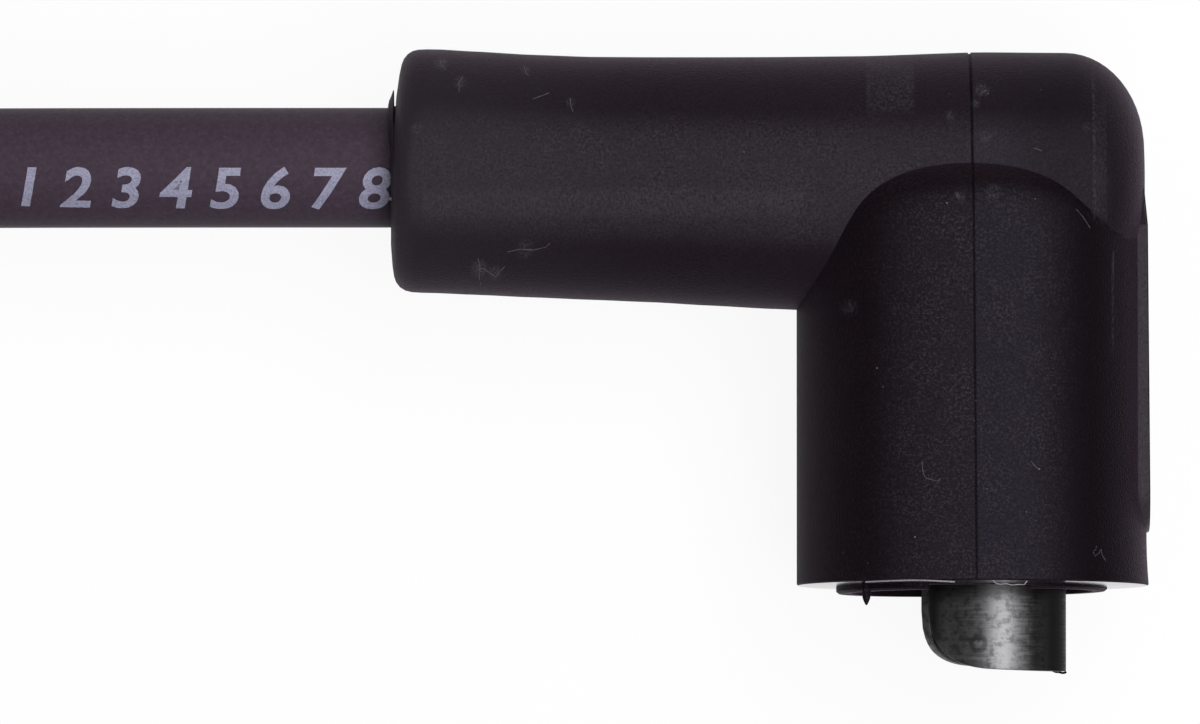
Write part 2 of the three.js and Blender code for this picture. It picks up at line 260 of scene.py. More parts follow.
# %% Boot: leg
LEG_END = 43.97
LEG_END_ROUND = (4.6, 5.6)
LEG_LEAN = 2.2
LEG_LEAN_REACH = 6
LEG_EASE = 0.35
LEG_BODY_START = 2.0
LEG_RINGS = 47
LEG_RING_STEP = 0.8
leg_stations = [
    (0.0, 7.1, -0.16), (2.6, 7.11, -0.2), (5.0, 7.1, -0.32), (8.3, 7.08, -0.49), (11.7, 7.09, -0.62),
    (15.2, 7.15, -0.7), (18.7, 7.25, -0.8), (22.2, 7.35, -0.89), (27.4, 7.49, -0.98), (34.4, 7.77, -1.03),
    (39.6, 7.76, -1.06), (44.0, 7.76, -1.06),
]
leg_mouth_round = [
    (0.2, 4.4), (0.33, 5.6), (0.44, 6.2), (0.56, 6.52), (0.78, 6.8), (1.08, 6.99), (1.45, 7.08),
]


def leg_station(along):
    """Radius and height of the leg's middle line at a distance from the mouth."""
    for (a, radius_a, height_a), (b, radius_b, height_b) in zip(leg_stations, leg_stations[1:]):
        if along <= b:
            share = max(0, (along - a) / (b - a))
            share = share * share * (3 - 2 * share) * LEG_EASE + share * (1 - LEG_EASE)
            return radius_a + (radius_b - radius_a) * share, height_a + (height_b - height_a) * share
    return leg_stations[-1][1:]


def boot_leg():
    rings = [LEG_BODY_START + i * LEG_RING_STEP for i in range(LEG_RINGS)]
    end = (LEG_END - LEG_END_ROUND[0], leg_stations[-1][1] - LEG_END_ROUND[1])
    profile = [(leg_mouth_round[0][0], 0)] + leg_mouth_round
    profile += [(along, leg_station(along)[0]) for along in rings]
    profile += arc(end, *LEG_END_ROUND, 90, 0, 14)
    profile += [(LEG_END, 0)]
    leg = spun("leg", profile, SKIN_STEPS)
    for vertex in leg.data.vertices:
        height = leg_station(vertex.co.x)[1]
        near = max(0, 1 - vertex.co.x / LEG_LEAN_REACH)
        vertex.co.x += math.tan(math.radians(LEG_LEAN)) * vertex.co.y * near
        vertex.co.y += height
    return leg


def skin_of(mesh):
    """A search tree of a mesh's surface."""
    return BVHTree.FromPolygons([v.co for v in mesh.vertices], [tuple(p.vertices) for p in mesh.polygons])


boot = boot_leg()
boot.name = "elbow_boot_rubber"
leg_skin = skin_of(boot.data)
print("leg has", len(boot.data.polygons), "faces")

# %% [markdown]
# The tower is a plain cylinder with a domed shoulder that dies into the leg. Where the two meet, the
# photograph shows a clean arch, which the union of the two forms gives by itself. The rim slopes up
# towards its edge, and the tower's back flares out a little above it.

# %% Boot: tower
TOWER_AXIS = 33.9
TOWER_RADIUS = 10.2
TOWER_RIM = 24.5
TOWER_SHOULDER = 5.8
TOWER_DOME = 7.23
TOWER_DOME_FULLNESS = 3.5
TOWER_STEPS = 160
WALL_RINGS = 20
DOME_RINGS = 24
RIM_SEAT = 0.02
RIM_SLOPE = 0.1
RIM_ROUND = 0.08
RIM_FLARE = 0.14
RIM_FLARE_HEIGHT = 3.0
LIP_RADIUS = 7.9


def tower_profile(under=0.0):
    """The tower from its rim up, or the same form at a depth under its skin."""
    shoulder = TOWER_RIM - TOWER_SHOULDER
    radius = TOWER_RADIUS - under
    profile = [(i * shoulder / WALL_RINGS, radius) for i in range(1, WALL_RINGS + 1)]
    for i in range(1, DOME_RINGS + 1):
        share = math.sin(math.pi / 2 * i / DOME_RINGS)
        width = radius * math.sqrt(1 - share ** TOWER_DOME_FULLNESS)
        profile.append((shoulder + (TOWER_DOME - under) * share, width))
    return profile


def on_tower(piece, lean=0.0):
    """Takes a piece that was spun about X to the tower, with its start at the rim."""
    return move(piece, turn=(0, 0, 90 + lean), by=(TOWER_AXIS, -TOWER_RIM, 0))


def boot_tower():
    rim = [(-RIM_SEAT, 0), (-RIM_SEAT, LIP_RADIUS), (RIM_SLOPE, TOWER_RADIUS - RIM_ROUND),
           (RIM_SLOPE + RIM_ROUND, TOWER_RADIUS)]
    tower = spun("tower", rim + tower_profile(), TOWER_STEPS)
    for vertex in tower.data.vertices:
        low = max(0, 1 - vertex.co.x / RIM_FLARE_HEIGHT)
        vertex.co.y -= RIM_FLARE * low * low * max(0, -vertex.co.y / TOWER_RADIUS)
    return on_tower(tower)


carve(boot, boot_tower(), "UNION")
print("leg and tower have", len(boot.data.polygons), "faces")

# %% [markdown]
# A low lip under the rim seals on the coil, and leans a little. In front of the sleeve a stretch of it
# is torn off, so a box is cut out of it, which leaves a thin web on the rim.

# %% Boot: lip and its torn stretch
LIP_HEIGHT = 0.3
LIP_LEAN = 0.6
LIP_ROUND = (0.12, 0.15)
TORN_FROM = 31.3
TORN_TO = 37.15
TORN_FRONT = (4, 9)
TORN_WEB = 0.05
PAST = 1.0  # how far a form goes into or past the piece that it joins or cuts


def boot_lip():
    profile = [(-LIP_HEIGHT, 0), (-LIP_HEIGHT, LIP_RADIUS - LIP_ROUND[1]),
               (-LIP_HEIGHT + LIP_ROUND[0], LIP_RADIUS), (PAST, LIP_RADIUS), (PAST, 0)]
    return on_tower(spun("lip", profile, SKIN_STEPS), LIP_LEAN)


def box_piece(name, low, high):
    bm = bmesh.new()
    bmesh.ops.create_cube(bm, size=1)
    size = [b - a for a, b in zip(low, high)]
    middle = [(a + b) / 2 for a, b in zip(low, high)]
    bmesh.ops.scale(bm, vec=size, verts=bm.verts)
    bmesh.ops.translate(bm, vec=middle, verts=bm.verts)
    return piece_from(name, bm)


def torn_gap():
    low = (TORN_FROM, -TOWER_RIM - PAST, TORN_FRONT[0])
    return box_piece("gap", low, (TORN_TO, -TOWER_RIM - TORN_WEB, TORN_FRONT[1]))


carve(boot, boot_lip(), "UNION")
carve(boot, torn_gap(), "DIFFERENCE")
print("with its lip it has", len(boot.data.polygons), "faces")

# %% [markdown]
# A low pad stands on the tower's back, where the boot is pushed home. Its outline is one face, which is
# extruded outwards. Its outer face then leans out towards its tip, and a bevel softens its edge.

# %% Boot: pad
PAD_PROUD = 0.16
PAD_HALF_WIDTH = 3.4
PAD_TOP = 1.3
PAD_TOP_SINK = 0.2
PAD_RAMP = 2.2
PAD_BOTTOM = 21.3
PAD_TIP = 2.5
PAD_TIP_STEPS = 12
PAD_ROUND = 0.12


def pad_outline():
    """The pad's outline as (across, height), round its square top and its rounded tip."""
    outline = [(PAD_HALF_WIDTH, -PAD_TOP - PAD_RAMP), (PAD_HALF_WIDTH, -PAD_TOP),
               (-PAD_HALF_WIDTH, -PAD_TOP), (-PAD_HALF_WIDTH, -PAD_TOP - PAD_RAMP)]
    for i in range(PAD_TIP_STEPS + 1):
        angle = math.pi + math.pi * i / PAD_TIP_STEPS
        height = -PAD_BOTTOM + PAD_TIP + PAD_TIP * math.sin(angle)
        outline.append((PAD_HALF_WIDTH * math.cos(angle), height))
    return outline


def boot_pad():
    bm = bmesh.new()
    inner = TOWER_AXIS + TOWER_RADIUS / 2
    face = bm.faces.new([bm.verts.new((inner, height, across)) for across, height in pad_outline()])
    pushed = bmesh.ops.extrude_face_region(bm, geom=[face])["geom"]
    moved = [item for item in pushed if isinstance(item, bmesh.types.BMVert)]
    bmesh.ops.translate(bm, vec=(TOWER_RADIUS / 2, 0, 0), verts=moved)
    for vertex in moved:
        vertex.co.x += PAD_PROUD * (-vertex.co.y - PAD_TOP) / (PAD_BOTTOM - PAD_TOP)
        if vertex.co.y > -PAD_TOP - PAD_RAMP / 2:
            vertex.co.x -= PAD_TOP_SINK
    bmesh.ops.recalc_face_normals(bm, faces=bm.faces)
    rim = [edge for edge in bm.edges if all(v in moved for v in edge.verts)]
    bmesh.ops.bevel(bm, geom=rim, offset=PAD_ROUND, segments=3, profile=0.5, affect="EDGES", material=-1)
    return piece_from("pad", bm)


carve(boot, boot_pad(), "UNION")
print("with its pad it has", len(boot.data.polygons), "faces")

# %% [markdown]
# Rubber crept past the tool's core at the leg's mouth and left a thin fin round the lead, proud at the
# top and gone at the sides. It is spun as an even fin and then drawn in, by how far each point lies
# from the top. A plain foot ties it to the leg.

# %% Boot: the fin at the leg's mouth
FLASH_INNER = 3.4
FLASH_FADE = 4
FLASH_LEAST = 0.1
FLASH_FOOT_DROP = 1.0
flash_profile = [
    (-0.13, 0), (-0.13, 3.65), (-0.07, 3.94), (0.04, 4.17), (0.17, 4.55), (0.21, 4.5), (0.19, 3.9),
    (0.19, 0),
]
flash_foot_profile = [(0.05, 0), (0.06, 3.9), (0.1, 4.3), (0.2, 4.6), (0.9, 4.6), (0.9, 0)]


def mouth_flash():
    flash = spun("flash", flash_profile, TOOL_STEPS)
    for vertex in flash.data.vertices:
        radius = math.hypot(vertex.co.y, vertex.co.z)
        if radius > FLASH_INNER:
            share = ((1 + vertex.co.y / radius) / 2) ** FLASH_FADE
            keep = (FLASH_INNER + (radius - FLASH_INNER) * max(FLASH_LEAST, share)) / radius
            vertex.co.y *= keep
            vertex.co.z *= keep
    foot = spun("foot", flash_foot_profile, TOOL_STEPS)
    carve(flash, move(foot, by=(0, -FLASH_FOOT_DROP, 0)), "UNION")
    return flash


carve(boot, mouth_flash(), "UNION")
print("with its fin it has", len(boot.data.polygons), "faces")

# %% [markdown]
# The two halves of the tool met in a plane through the tower and left a fine line. A thin slab gives it,
# but only its outermost part may cut, so the forms of the leg and the tower, a little under their skin,
# are taken out of the slab first.

# %% Boot: parting line
PARTING_PLACE = TOWER_AXIS - 0.08
PARTING_WIDTH = 0.17
PARTING_DEPTH = 0.08
PARTING_TURN = 0.43
PARTING_REACH = (9, 12)
INNER_PAST = 2


def rod_piece(name, start, end, radius, steps=TOOL_STEPS):
    return spun(name, [(start, 0), (start, radius), (end, radius), (end, 0)], steps)


def parting_line():
    high = (PARTING_WIDTH / 2, *PARTING_REACH)
    slab = box_piece("slab", (-PARTING_WIDTH / 2, -TOWER_RIM - PAST, -PARTING_REACH[1]), high)
    move(slab, turn=(0, 0, PARTING_TURN), by=(PARTING_PLACE, 0, 0))
    radius, height = leg_station(TOWER_AXIS)
    inner_leg = rod_piece("inner", TOWER_AXIS - INNER_PAST, TOWER_AXIS + INNER_PAST, radius - PARTING_DEPTH)
    carve(slab, move(inner_leg, by=(0, height, 0)), "DIFFERENCE")
    under = [(-INNER_PAST, 0), (-INNER_PAST, TOWER_RADIUS - PARTING_DEPTH)] + tower_profile(PARTING_DEPTH)
    carve(slab, on_tower(spun("inner", under, SKIN_STEPS)), "DIFFERENCE")
    return slab


carve(boot, parting_line(), "DIFFERENCE")
print("with its parting line it has", len(boot.data.polygons), "faces")

# %% [markdown]
# The boot is hollow. The lead's bore meets a round chamber for the crimp, and the tower's bore takes
# the coil's post. The bore clears the lead by 0.02 mm, so that the two skins don't lie in one another.

# %% Boot: the hollow
BORE_CLEAR = 0.02
TOWER_BORE = 7.0
TOWER_BORE_DEPTH = 14.5
SLEEVE_AXIS = TOWER_AXIS + 1.2
SLEEVE_RADIUS = 4.3
CHAMBER_RADIUS = 5.04
CRIMP_START = 20.0

chamber_end = SLEEVE_AXIS + SLEEVE_RADIUS + SEAT_GAP
down = rod_piece("down", 0, TOWER_RIM - TOWER_BORE_DEPTH + PAST, CHAMBER_RADIUS)
move(down, turn=(0, 0, -90), by=(SLEEVE_AXIS, 0, 0))
for hollow in (
    rod_piece("bore", -PAST, CRIMP_START, LEAD_RADIUS + BORE_CLEAR),
    rod_piece("chamber", CRIMP_START - SEAT_GAP, chamber_end, CHAMBER_RADIUS),
    down,
    on_tower(rod_piece("bore", -PAST, TOWER_BORE_DEPTH, TOWER_BORE, SKIN_STEPS)),
):
    carve(boot, hollow, "DIFFERENCE")
print("hollow, it has", len(boot.data.polygons), "faces")

# %% [markdown]
# The skin differs from part to part, as the photograph shows, so the faces get material slots: the leg,
# the cut rim, the tower and the walls of the pad. A face is the leg's where it lies on the kept skin.

# %% Boot: slots and place
ON_SKIN = 0.02
RIM_DEPTH = 0.3
PAD_WALL_START = 9.2


def mark_parts(boot):
    """Material slots: 0 the leg, 1 the cut rim, 2 the tower, 3 the walls of the pad."""
    for _ in range(4):
        boot.data.materials.append(None)
    for face in boot.data.polygons:
        x, y, z = face.center
        slot = 0 if leg_skin.find_nearest(face.center)[3] < ON_SKIN else 2
        off_axis = math.hypot(x - TOWER_AXIS, z)
        if face.normal.y < -0.9 and y < RIM_DEPTH - TOWER_RIM and off_axis > LIP_RADIUS:
            slot = 1
        if slot == 2 and x > TOWER_AXIS + PAD_WALL_START and abs(face.normal.x) < 0.5:
            slot = 3
        face.material_index = slot


smooth(boot, angle=32)
mark_parts(boot)
place(boot, COIL_MOUTH)
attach(boot, "root")
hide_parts("elbow_boot")
print("right-angle boot has", len(boot.data.polygons), "faces")

# %% [markdown]
# The terminal is one sheet of tinned steel, half a millimetre thick. A line spun most of the way round
# makes the rolled sleeve, and its lower edge follows the cut of the flat blank, so that the corners
# by the seam are round. Solidify then gives the sheet its thickness inwards.

# %% Coil terminal: sleeve
SHEET = 0.5
SHEET_EDGE = 0.06
SHEET_STEPS = 72
SEAM_HALF = 22
SEAM_TURN = 6
SLEEVE_TOP = 10.35
SLEEVE_BOTTOM = 29.4
CORNER_LONG = 3.3
CORNER_WIDE = 4.3
OUT_OF_SQUARE = 0.4
CUT_LEAN = 0.17


def rolled_sheet(name, start, end, radius, rows):
    """A sheet rolled round X, with its open seam on -Y.

    The spin may give either way round, so the first face tells whether to flip them all.
    """
    seam = math.radians(SEAM_HALF)
    bm = bmesh.new()
    verts = []
    for i in range(rows + 1):
        along = start + (end - start) * i / rows
        verts.append(bm.verts.new((along, -radius * math.cos(seam), radius * math.sin(seam))))
    edges = [bm.edges.new(pair) for pair in zip(verts, verts[1:])]
    bmesh.ops.spin(bm, geom=verts + edges, cent=(0, 0, 0), axis=(-1, 0, 0), dvec=(0, 0, 0),
                   angle=2 * math.pi - 2 * seam, steps=SHEET_STEPS, use_merge=False, use_duplicate=False)
    bmesh.ops.recalc_face_normals(bm, faces=bm.faces)
    sheet = piece_from(name, bm)
    face = sheet.data.polygons[0]
    if face.normal.y * face.center.y + face.normal.z * face.center.z < 0:
        sheet.data.flip_normals()
    return sheet


def thicken(piece):
    """Gives a sheet its thickness inwards. Its cut edges go to the second material slot."""
    piece.data.materials.append(None)
    piece.data.materials.append(None)
    modifier = piece.modifiers.new("sheet", "SOLIDIFY")
    modifier.thickness = SHEET
    modifier.offset = -1
    modifier.material_offset_rim = 1
    bevel = piece.modifiers.new("edges", "BEVEL")
    bevel.width = SHEET_EDGE
    bevel.segments = 2
    bevel.limit_method = "ANGLE"
    bevel.angle_limit = math.radians(50)
    settle(piece)


def coil_sleeve():
    long = SLEEVE_BOTTOM - SLEEVE_TOP
    sleeve = rolled_sheet("sleeve", 0, long, SLEEVE_RADIUS, 24)
    for vertex in sleeve.data.vertices:
        turned = math.acos(max(-1, min(1, -vertex.co.y / SLEEVE_RADIUS)))
        from_seam = SLEEVE_RADIUS * (turned - math.radians(SEAM_HALF))
        low = min(1.0, max(0.0, 1 - from_seam / CORNER_WIDE))
        cut = CORNER_LONG * (1 - math.sqrt(1 - low * low))
        far = (1 - vertex.co.z / SLEEVE_RADIUS) / 2
        lean = CUT_LEAN * vertex.co.y / SLEEVE_RADIUS
        vertex.co.x *= (long - cut - OUT_OF_SQUARE * far + lean) / long
    thicken(sleeve)
    move(sleeve, turn=(-SEAM_TURN, 0, 0))
    return move(sleeve, turn=(0, 0, -90), by=(SLEEVE_AXIS, -SLEEVE_TOP, 0))


sleeve = coil_sleeve()
print("sleeve has", len(sleeve.data.polygons), "faces")

# %% [markdown]
# The shear left a ragged bit on the sleeve's lower corner. It is a thread: a ring of edges at each point
# of its path, bridged into one skin. The pale threads at the rim and the lint, with their painted
# highlights, are made in the same way later.

# %% Coil terminal: burr
STRAND_SIDES = 5
BURR_RADIUS = 0.07
BURR_SHIFT = 0.15
BURR_REACH = 4.0
burr_places = [(38.75, 0.02), (38.95, 0.08), (39.15, 0.06), (39.3, 0.11), (39.45, 0.1), (39.55, 0.04)]


def strand(points, radius):
    """A thin tube along points: a ring of edges at each, bridged into one skin and closed at its ends."""
    bm = bmesh.new()
    axes = [(b - a).normalized() for a, b in zip(points, points[1:])]
    axes.append(axes[-1])
    rings = []
    for point, axis in zip(points, axes):
        made_before = len(bm.edges)
        turn = axis.to_track_quat("Z", "Y").to_matrix().to_4x4()
        matrix = Matrix.Translation(point) @ turn
        bmesh.ops.create_circle(bm, segments=STRAND_SIDES, radius=radius, matrix=matrix)
        rings.append(bm.edges[made_before:])
    for first, second in zip(rings, rings[1:]):
        bmesh.ops.bridge_loops(bm, edges=first + second)
    bmesh.ops.holes_fill(bm, edges=[edge for edge in bm.edges if edge.is_boundary])
    bmesh.ops.recalc_face_normals(bm, faces=bm.faces)
    return piece_from("strand", bm)


def burr():
    """A thread along the sheet's lower edge, with points as (x, drop)."""
    path = []
    for x, drop in burr_places:
        along = min(x - SLEEVE_AXIS, BURR_REACH)
        across = math.sqrt((SLEEVE_RADIUS - SHEET / 2) ** 2 - along ** 2)
        path.append(Vector((x - BURR_SHIFT, -SLEEVE_BOTTOM - drop, across)))
    return strand(path, BURR_RADIUS)


ragged_bit = burr()
print("burr has", len(ragged_bit.data.polygons), "faces")

# %% [markdown]
# Inside the boot the same sheet goes on: a strip bends over the lead's end, and the crimp holds the lead.
# The strip is a line of edges, extruded sideways. All of the sheet is then one mesh.

# %% Coil terminal: strip, crimp and the whole pressing
STRIP_HALF_WIDTH = 2.0
STRIP_BEND = 2.0
CRIMP_END = 26.5
CRIMP_RADIUS = LEAD_RADIUS + SEAT_GAP + SHEET


def bent_strip():
    back = SLEEVE_AXIS + SLEEVE_RADIUS
    outer = [(CRIMP_END - PAST, CRIMP_RADIUS)]
    outer += arc((back - STRIP_BEND, CRIMP_RADIUS - STRIP_BEND), STRIP_BEND, STRIP_BEND, 90, 0, 10)
    outer += [(back, -SLEEVE_TOP - PAST)]
    bm = bmesh.new()
    verts = [bm.verts.new((x, y, -STRIP_HALF_WIDTH)) for x, y in outer]
    edges = [bm.edges.new(pair) for pair in zip(verts, verts[1:])]
    pushed = bmesh.ops.extrude_edge_only(bm, edges=edges)["geom"]
    moved = [item for item in pushed if isinstance(item, bmesh.types.BMVert)]
    bmesh.ops.translate(bm, vec=(0, 0, 2 * STRIP_HALF_WIDTH), verts=moved)
    bmesh.ops.recalc_face_normals(bm, faces=bm.faces)
    strip = piece_from("strip", bm)
    if strip.data.polygons[0].normal.y < 0:
        strip.data.flip_normals()
    thicken(strip)
    return strip


def joined(name, pieces):
    """One mesh of several pieces that touch, such as the parts of one pressing."""
    bm = bmesh.new()
    for piece in pieces:
        bm.from_mesh(piece.data)
        bpy.data.objects.remove(piece)
    return piece_from(name, bm)


crimp = rolled_sheet("crimp", CRIMP_START, CRIMP_END, CRIMP_RADIUS, 4)
thicken(crimp)
terminal = joined("coil_terminal_sheet", [sleeve, ragged_bit, bent_strip(), crimp])
smooth(terminal, angle=40)
place(terminal, COIL_MOUTH)
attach(terminal, "root")
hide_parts("coil_terminal")
print("coil terminal has", len(terminal.data.polygons), "faces")

# %% [markdown]
# The photograph shows what handling left on the boot: a bead of rubber under the rim, torn skin and
# lint. Pale threads at the rim and one hair are painted highlights among them. They are placed by where
# they are seen, on a line from the camera through that point to the rubber, so they lie on it from any
# side.

# %% Where a point of the photograph meets the boot
boot_skin = skin_of(boot.data)
camera_up = Vector((0, math.cos(CAMERA_TILT), math.sin(CAMERA_TILT)))


def seen_on_boot(x, y, lift=0.0):
    """The place in metres on the boot's skin behind a point of the photograph, lifted off it in mm."""
    across = Vector(((x - PHOTO_CENTRE[0]) * pixel, 0, 0))
    aim = view_target + across + camera_up * (PHOTO_CENTRE[1] - y) * pixel
    spot, normal, _, _ = boot_skin.ray_cast(camera.location, aim - camera.location)
    return spot + normal * lift * MM


print("the photograph's point (970, 120) is at", tuple(seen_on_boot(970, 120)))

# %% [markdown]
# The bead is a drop that the tool drew out to a tip, so its profile is spun.

# %% Bead under the rim
NUB_PLACE = (27.7, -TOWER_RIM + 0.1, 4.85)
nub_profile = [(0, 0)] + arc((0.34, 0), 0.34, 0.3, 176, 60, 8)
nub_profile += [(0.66, 0.25), (0.9, 0.22), (1.1, 0.14), (1.26, 0.06), (1.3, 0)]

nub = move(spun("rim_nub", nub_profile, 24), turn=(0, 0, -90), by=NUB_PLACE)
smooth(nub, angle=60)
place(nub, COIL_MOUTH)
print("bead has", len(nub.data.polygons), "faces")

# %% [markdown]
# Two pale threads hang from the rim: one is torn skin whose pale colour is a painted highlight of its
# edge, the other a painted highlight along the rim's left edge. A pale speck sits at the leg's mouth.
# Lint is hairs and specks, and one hair on the arch's right is a painted highlight of its edge. Both
# follow points of the photograph, given in its pixels, with a speck's radius in millimetres.

# %% Torn skin, lint and painted highlights
JUST_ABOVE_RIM = 578
THREAD_LIFT = 0.04
HAIR_RADIUS = 0.011
HAIR_LIFT = 0.008
# torn skin whose pale colour is a painted highlight of its edge
torn_skin_highlight_line = [
    (993, 580.5), (996, 583.4), (1000, 584.2), (1006, 583.6), (1012, 585), (1018, 584.3), (1024, 584.5),
    (1027, 581),
]
# a painted highlight along the rim's left edge
painted_rim_highlight_line = [(866, 582), (880, 581.2), (895, 580.6), (910, 580.2), (925, 580.4), (940, 581), (955, 581.8)]
hairs_and_arch_highlight = [
    [(922, 461), (922.5, 468), (923.5, 474), (926, 478), (931, 479.5), (938, 481), (941, 478)],
    [(1096, 549), (1093, 552), (1095, 556), (1099, 553), (1101, 549), (1102, 555), (1106, 561)],
    [(1031, 461), (1034, 465), (1038, 469)],
    [(1033, 148), (1037, 149), (1042, 151)],
    [(440, 60), (442, 66), (446, 70)],
    [(463, 76), (459, 83), (459, 92)],
    [(524, 66), (526, 73), (529, 76)],
    [(533, 99), (541, 96), (549, 93)],
    [(570, 98), (571, 106), (573, 112)],
    [(507, 252), (520, 249), (533, 250), (546, 247), (550, 243)],
    [(478, 258), (480, 268), (479, 277), (481, 285)],
    [(483, 268), (490, 273), (496, 277), (500, 271), (505, 266)],
    # not a hair: a painted highlight on the right of the arch's edge
    [(1076, 209), (1083, 217), (1090, 228)],
]
specks = [
    (947, 203, 0.048), (1035, 199, 0.042), (1039, 469, 0.06), (915, 537, 0.06), (877, 368, 0.048),
    (883, 387, 0.036), (974, 421, 0.036), (968, 388, 0.03), (976, 401, 0.03), (961, 439, 0.024),
    (987, 489, 0.036), (1026, 512, 0.036), (985, 91, 0.042), (988, 94, 0.036), (1021, 72, 0.03),
    (892, 100, 0.03), (1041, 90, 0.024), (744, 152, 0.036), (868, 563, 0.03), (843, 553, 0.024),
    (1096, 547, 0.03), (949, 94, 0.024),
]


def speck(place_on, radius):
    bm = bmesh.new()
    bmesh.ops.create_icosphere(bm, subdivisions=1, radius=radius * MM, matrix=Matrix.Translation(place_on))
    return piece_from("speck", bm)


def torn_skin_and_highlight_thread(line, radius):
    """A pale thread that is a painted highlight, found on the boot just above the rim and let down to its
    line.
    """
    placed = [seen_on_boot(x, JUST_ABOVE_RIM, THREAD_LIFT) for x, _ in line]
    for spot, (_, y) in zip(placed, line):
        spot.y -= (y - JUST_ABOVE_RIM) * pixel
    return strand(placed, radius * MM)


def lint_and_highlight_on_boot():
    parts = [strand([seen_on_boot(x, y, HAIR_LIFT) for x, y in line], HAIR_RADIUS * MM) for line in hairs_and_arch_highlight]
    parts += [speck(seen_on_boot(x, y, radius * 0.5), radius) for x, y, radius in specks]
    return joined("lint_and_highlight", parts)


# two pale threads that are painted highlights, one on torn skin, and a pale speck at the mouth
torn_skin_and_rim_highlight = joined("torn_skin_and_rim_highlight", [torn_skin_and_highlight_thread(torn_skin_highlight_line, 0.03), torn_skin_and_highlight_thread(painted_rim_highlight_line, 0.045),
                                 speck(seen_on_boot(391.5, 199, 0.06), 0.11)])
lint_and_highlight = lint_and_highlight_on_boot()
for small in (nub, torn_skin_and_rim_highlight, lint_and_highlight):
    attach(small, "root")
print("lint has", len(lint_and_highlight.data.polygons), "faces")

# %% [markdown]
# The straight boot is a turned shape, so one spun profile gives it all: five grip ribs by the lead,
# a cone, a plain body and the thicker collar that goes over the plug. Each rib is an arc on the neck.

# %% Plug boot
PLUG_BOOT_LENGTH = 70.0
PLUG_NECK = 6.5
PLUG_FACE = 5.2
PLUG_ROUND = 1.2
PLUG_BODY = 8.4
PLUG_COLLAR = 9.6
PLUG_TAPER = 10.0
PLUG_COLLAR_LENGTH = 12.0
PLUG_BORE = 6.3
PLUG_BORE_DEPTH = 27.0
PLUG_CHAMBER = 5.4
GRIP_RIBS = 5
GRIP_PITCH = 3.2
GRIP_HEIGHT = 0.9
GRIP_WIDTH = 1.8
GRIP_START = 5.0
GRIP_FOOT = 0.25
PLUG_BODY_STOP = 1.6
PLUG_COLLAR_RISE = (1.4, 0.5)
COLLAR_ROUND = 0.7
END_ROUND = 0.6


def blend(start, end, steps):
    """Points from one (along, radius) to another on an S curve."""
    points = []
    for i in range(1, steps + 1):
        share = i / steps
        eased = share * share * (3 - 2 * share)
        points.append((start[0] + (end[0] - start[0]) * share, start[1] + (end[1] - start[1]) * eased))
    return points


def grip_profile():
    """The neck, from its mouth over its ribs."""
    profile = [(0, 0)] + arc((PLUG_ROUND, PLUG_FACE), PLUG_ROUND, PLUG_NECK - PLUG_FACE, 180, 90, 8)
    for i in range(GRIP_RIBS):
        middle = GRIP_START + i * GRIP_PITCH
        profile += [(middle - GRIP_WIDTH / 2 - GRIP_FOOT, PLUG_NECK)]
        profile += arc((middle, PLUG_NECK), GRIP_WIDTH / 2, GRIP_HEIGHT, 172, 8, 12)
        profile += [(middle + GRIP_WIDTH / 2 + GRIP_FOOT, PLUG_NECK)]
    return profile


def plug_profile():
    grip_end = GRIP_START + GRIP_RIBS * GRIP_PITCH
    cone_end = grip_end + PLUG_TAPER
    collar = PLUG_BOOT_LENGTH - PLUG_COLLAR_LENGTH
    body = collar - PLUG_BODY_STOP - cone_end
    rise_long, rise_high = PLUG_COLLAR_RISE
    profile = grip_profile() + [(grip_end, PLUG_NECK)]
    profile += blend((grip_end, PLUG_NECK), (cone_end, PLUG_BODY), 12)
    profile += [(cone_end + body * i / 10, PLUG_BODY) for i in range(1, 11)]
    profile += blend((collar - rise_long, PLUG_BODY), (collar, PLUG_BODY + rise_high), 5)
    corner = (collar + COLLAR_ROUND, PLUG_COLLAR - COLLAR_ROUND)
    profile += arc(corner, COLLAR_ROUND, COLLAR_ROUND, 180, 90, 6)
    profile += arc((PLUG_BOOT_LENGTH - END_ROUND, PLUG_COLLAR - END_ROUND), END_ROUND, END_ROUND, 90, 0, 6)
    return profile + [(PLUG_BOOT_LENGTH, 0)]


straight_boot = spun("plug_boot_rubber", plug_profile(), SKIN_STEPS)
bore_start = PLUG_BOOT_LENGTH - PLUG_BORE_DEPTH
for hollow in (
    rod_piece("bore", -PAST, CRIMP_START, LEAD_RADIUS + BORE_CLEAR),
    rod_piece("chamber", CRIMP_START - SEAT_GAP, CRIMP_END + PAST, CHAMBER_RADIUS),
    rod_piece("chamber", CRIMP_END + SEAT_GAP, bore_start + PAST, PLUG_CHAMBER),
    rod_piece("bore", bore_start, PLUG_BOOT_LENGTH + PAST, PLUG_BORE, SKIN_STEPS),
):
    carve(straight_boot, hollow, "DIFFERENCE")
smooth(straight_boot, angle=40)
place(straight_boot, PLUG_MOUTH)
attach(straight_boot, "root")
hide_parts("plug_boot")
print("straight boot has", len(straight_boot.data.polygons), "faces")

# %% [markdown]
# The lead is a free cord from the leg's mouth to the straight boot. The length of its curve is printed
# here.

# %% Length of the lead
print("the curve measures", round(lead.data.splines[0].calc_length(), 3), "m")

# %% [markdown]
# A print runs along the lead by the boot: plain counting numbers in pale ink. Text is flat, so it is
# made a mesh, cut finely and wrapped on the jacket a hundredth of a millimetre above the rubber.

# %% Printed numbers
PRINT_WORDS = "1 2 3 4 5 6 7 8"
PRINT_START = -21.5
PRINT_LENGTH = 21.6
PRINT_TURN = (-2, -47)
PRINT_LIFT = 0.012
PRINT_SLANT = 0.15
PRINT_WEIGHT = 0.02
PRINT_CUTS = 40


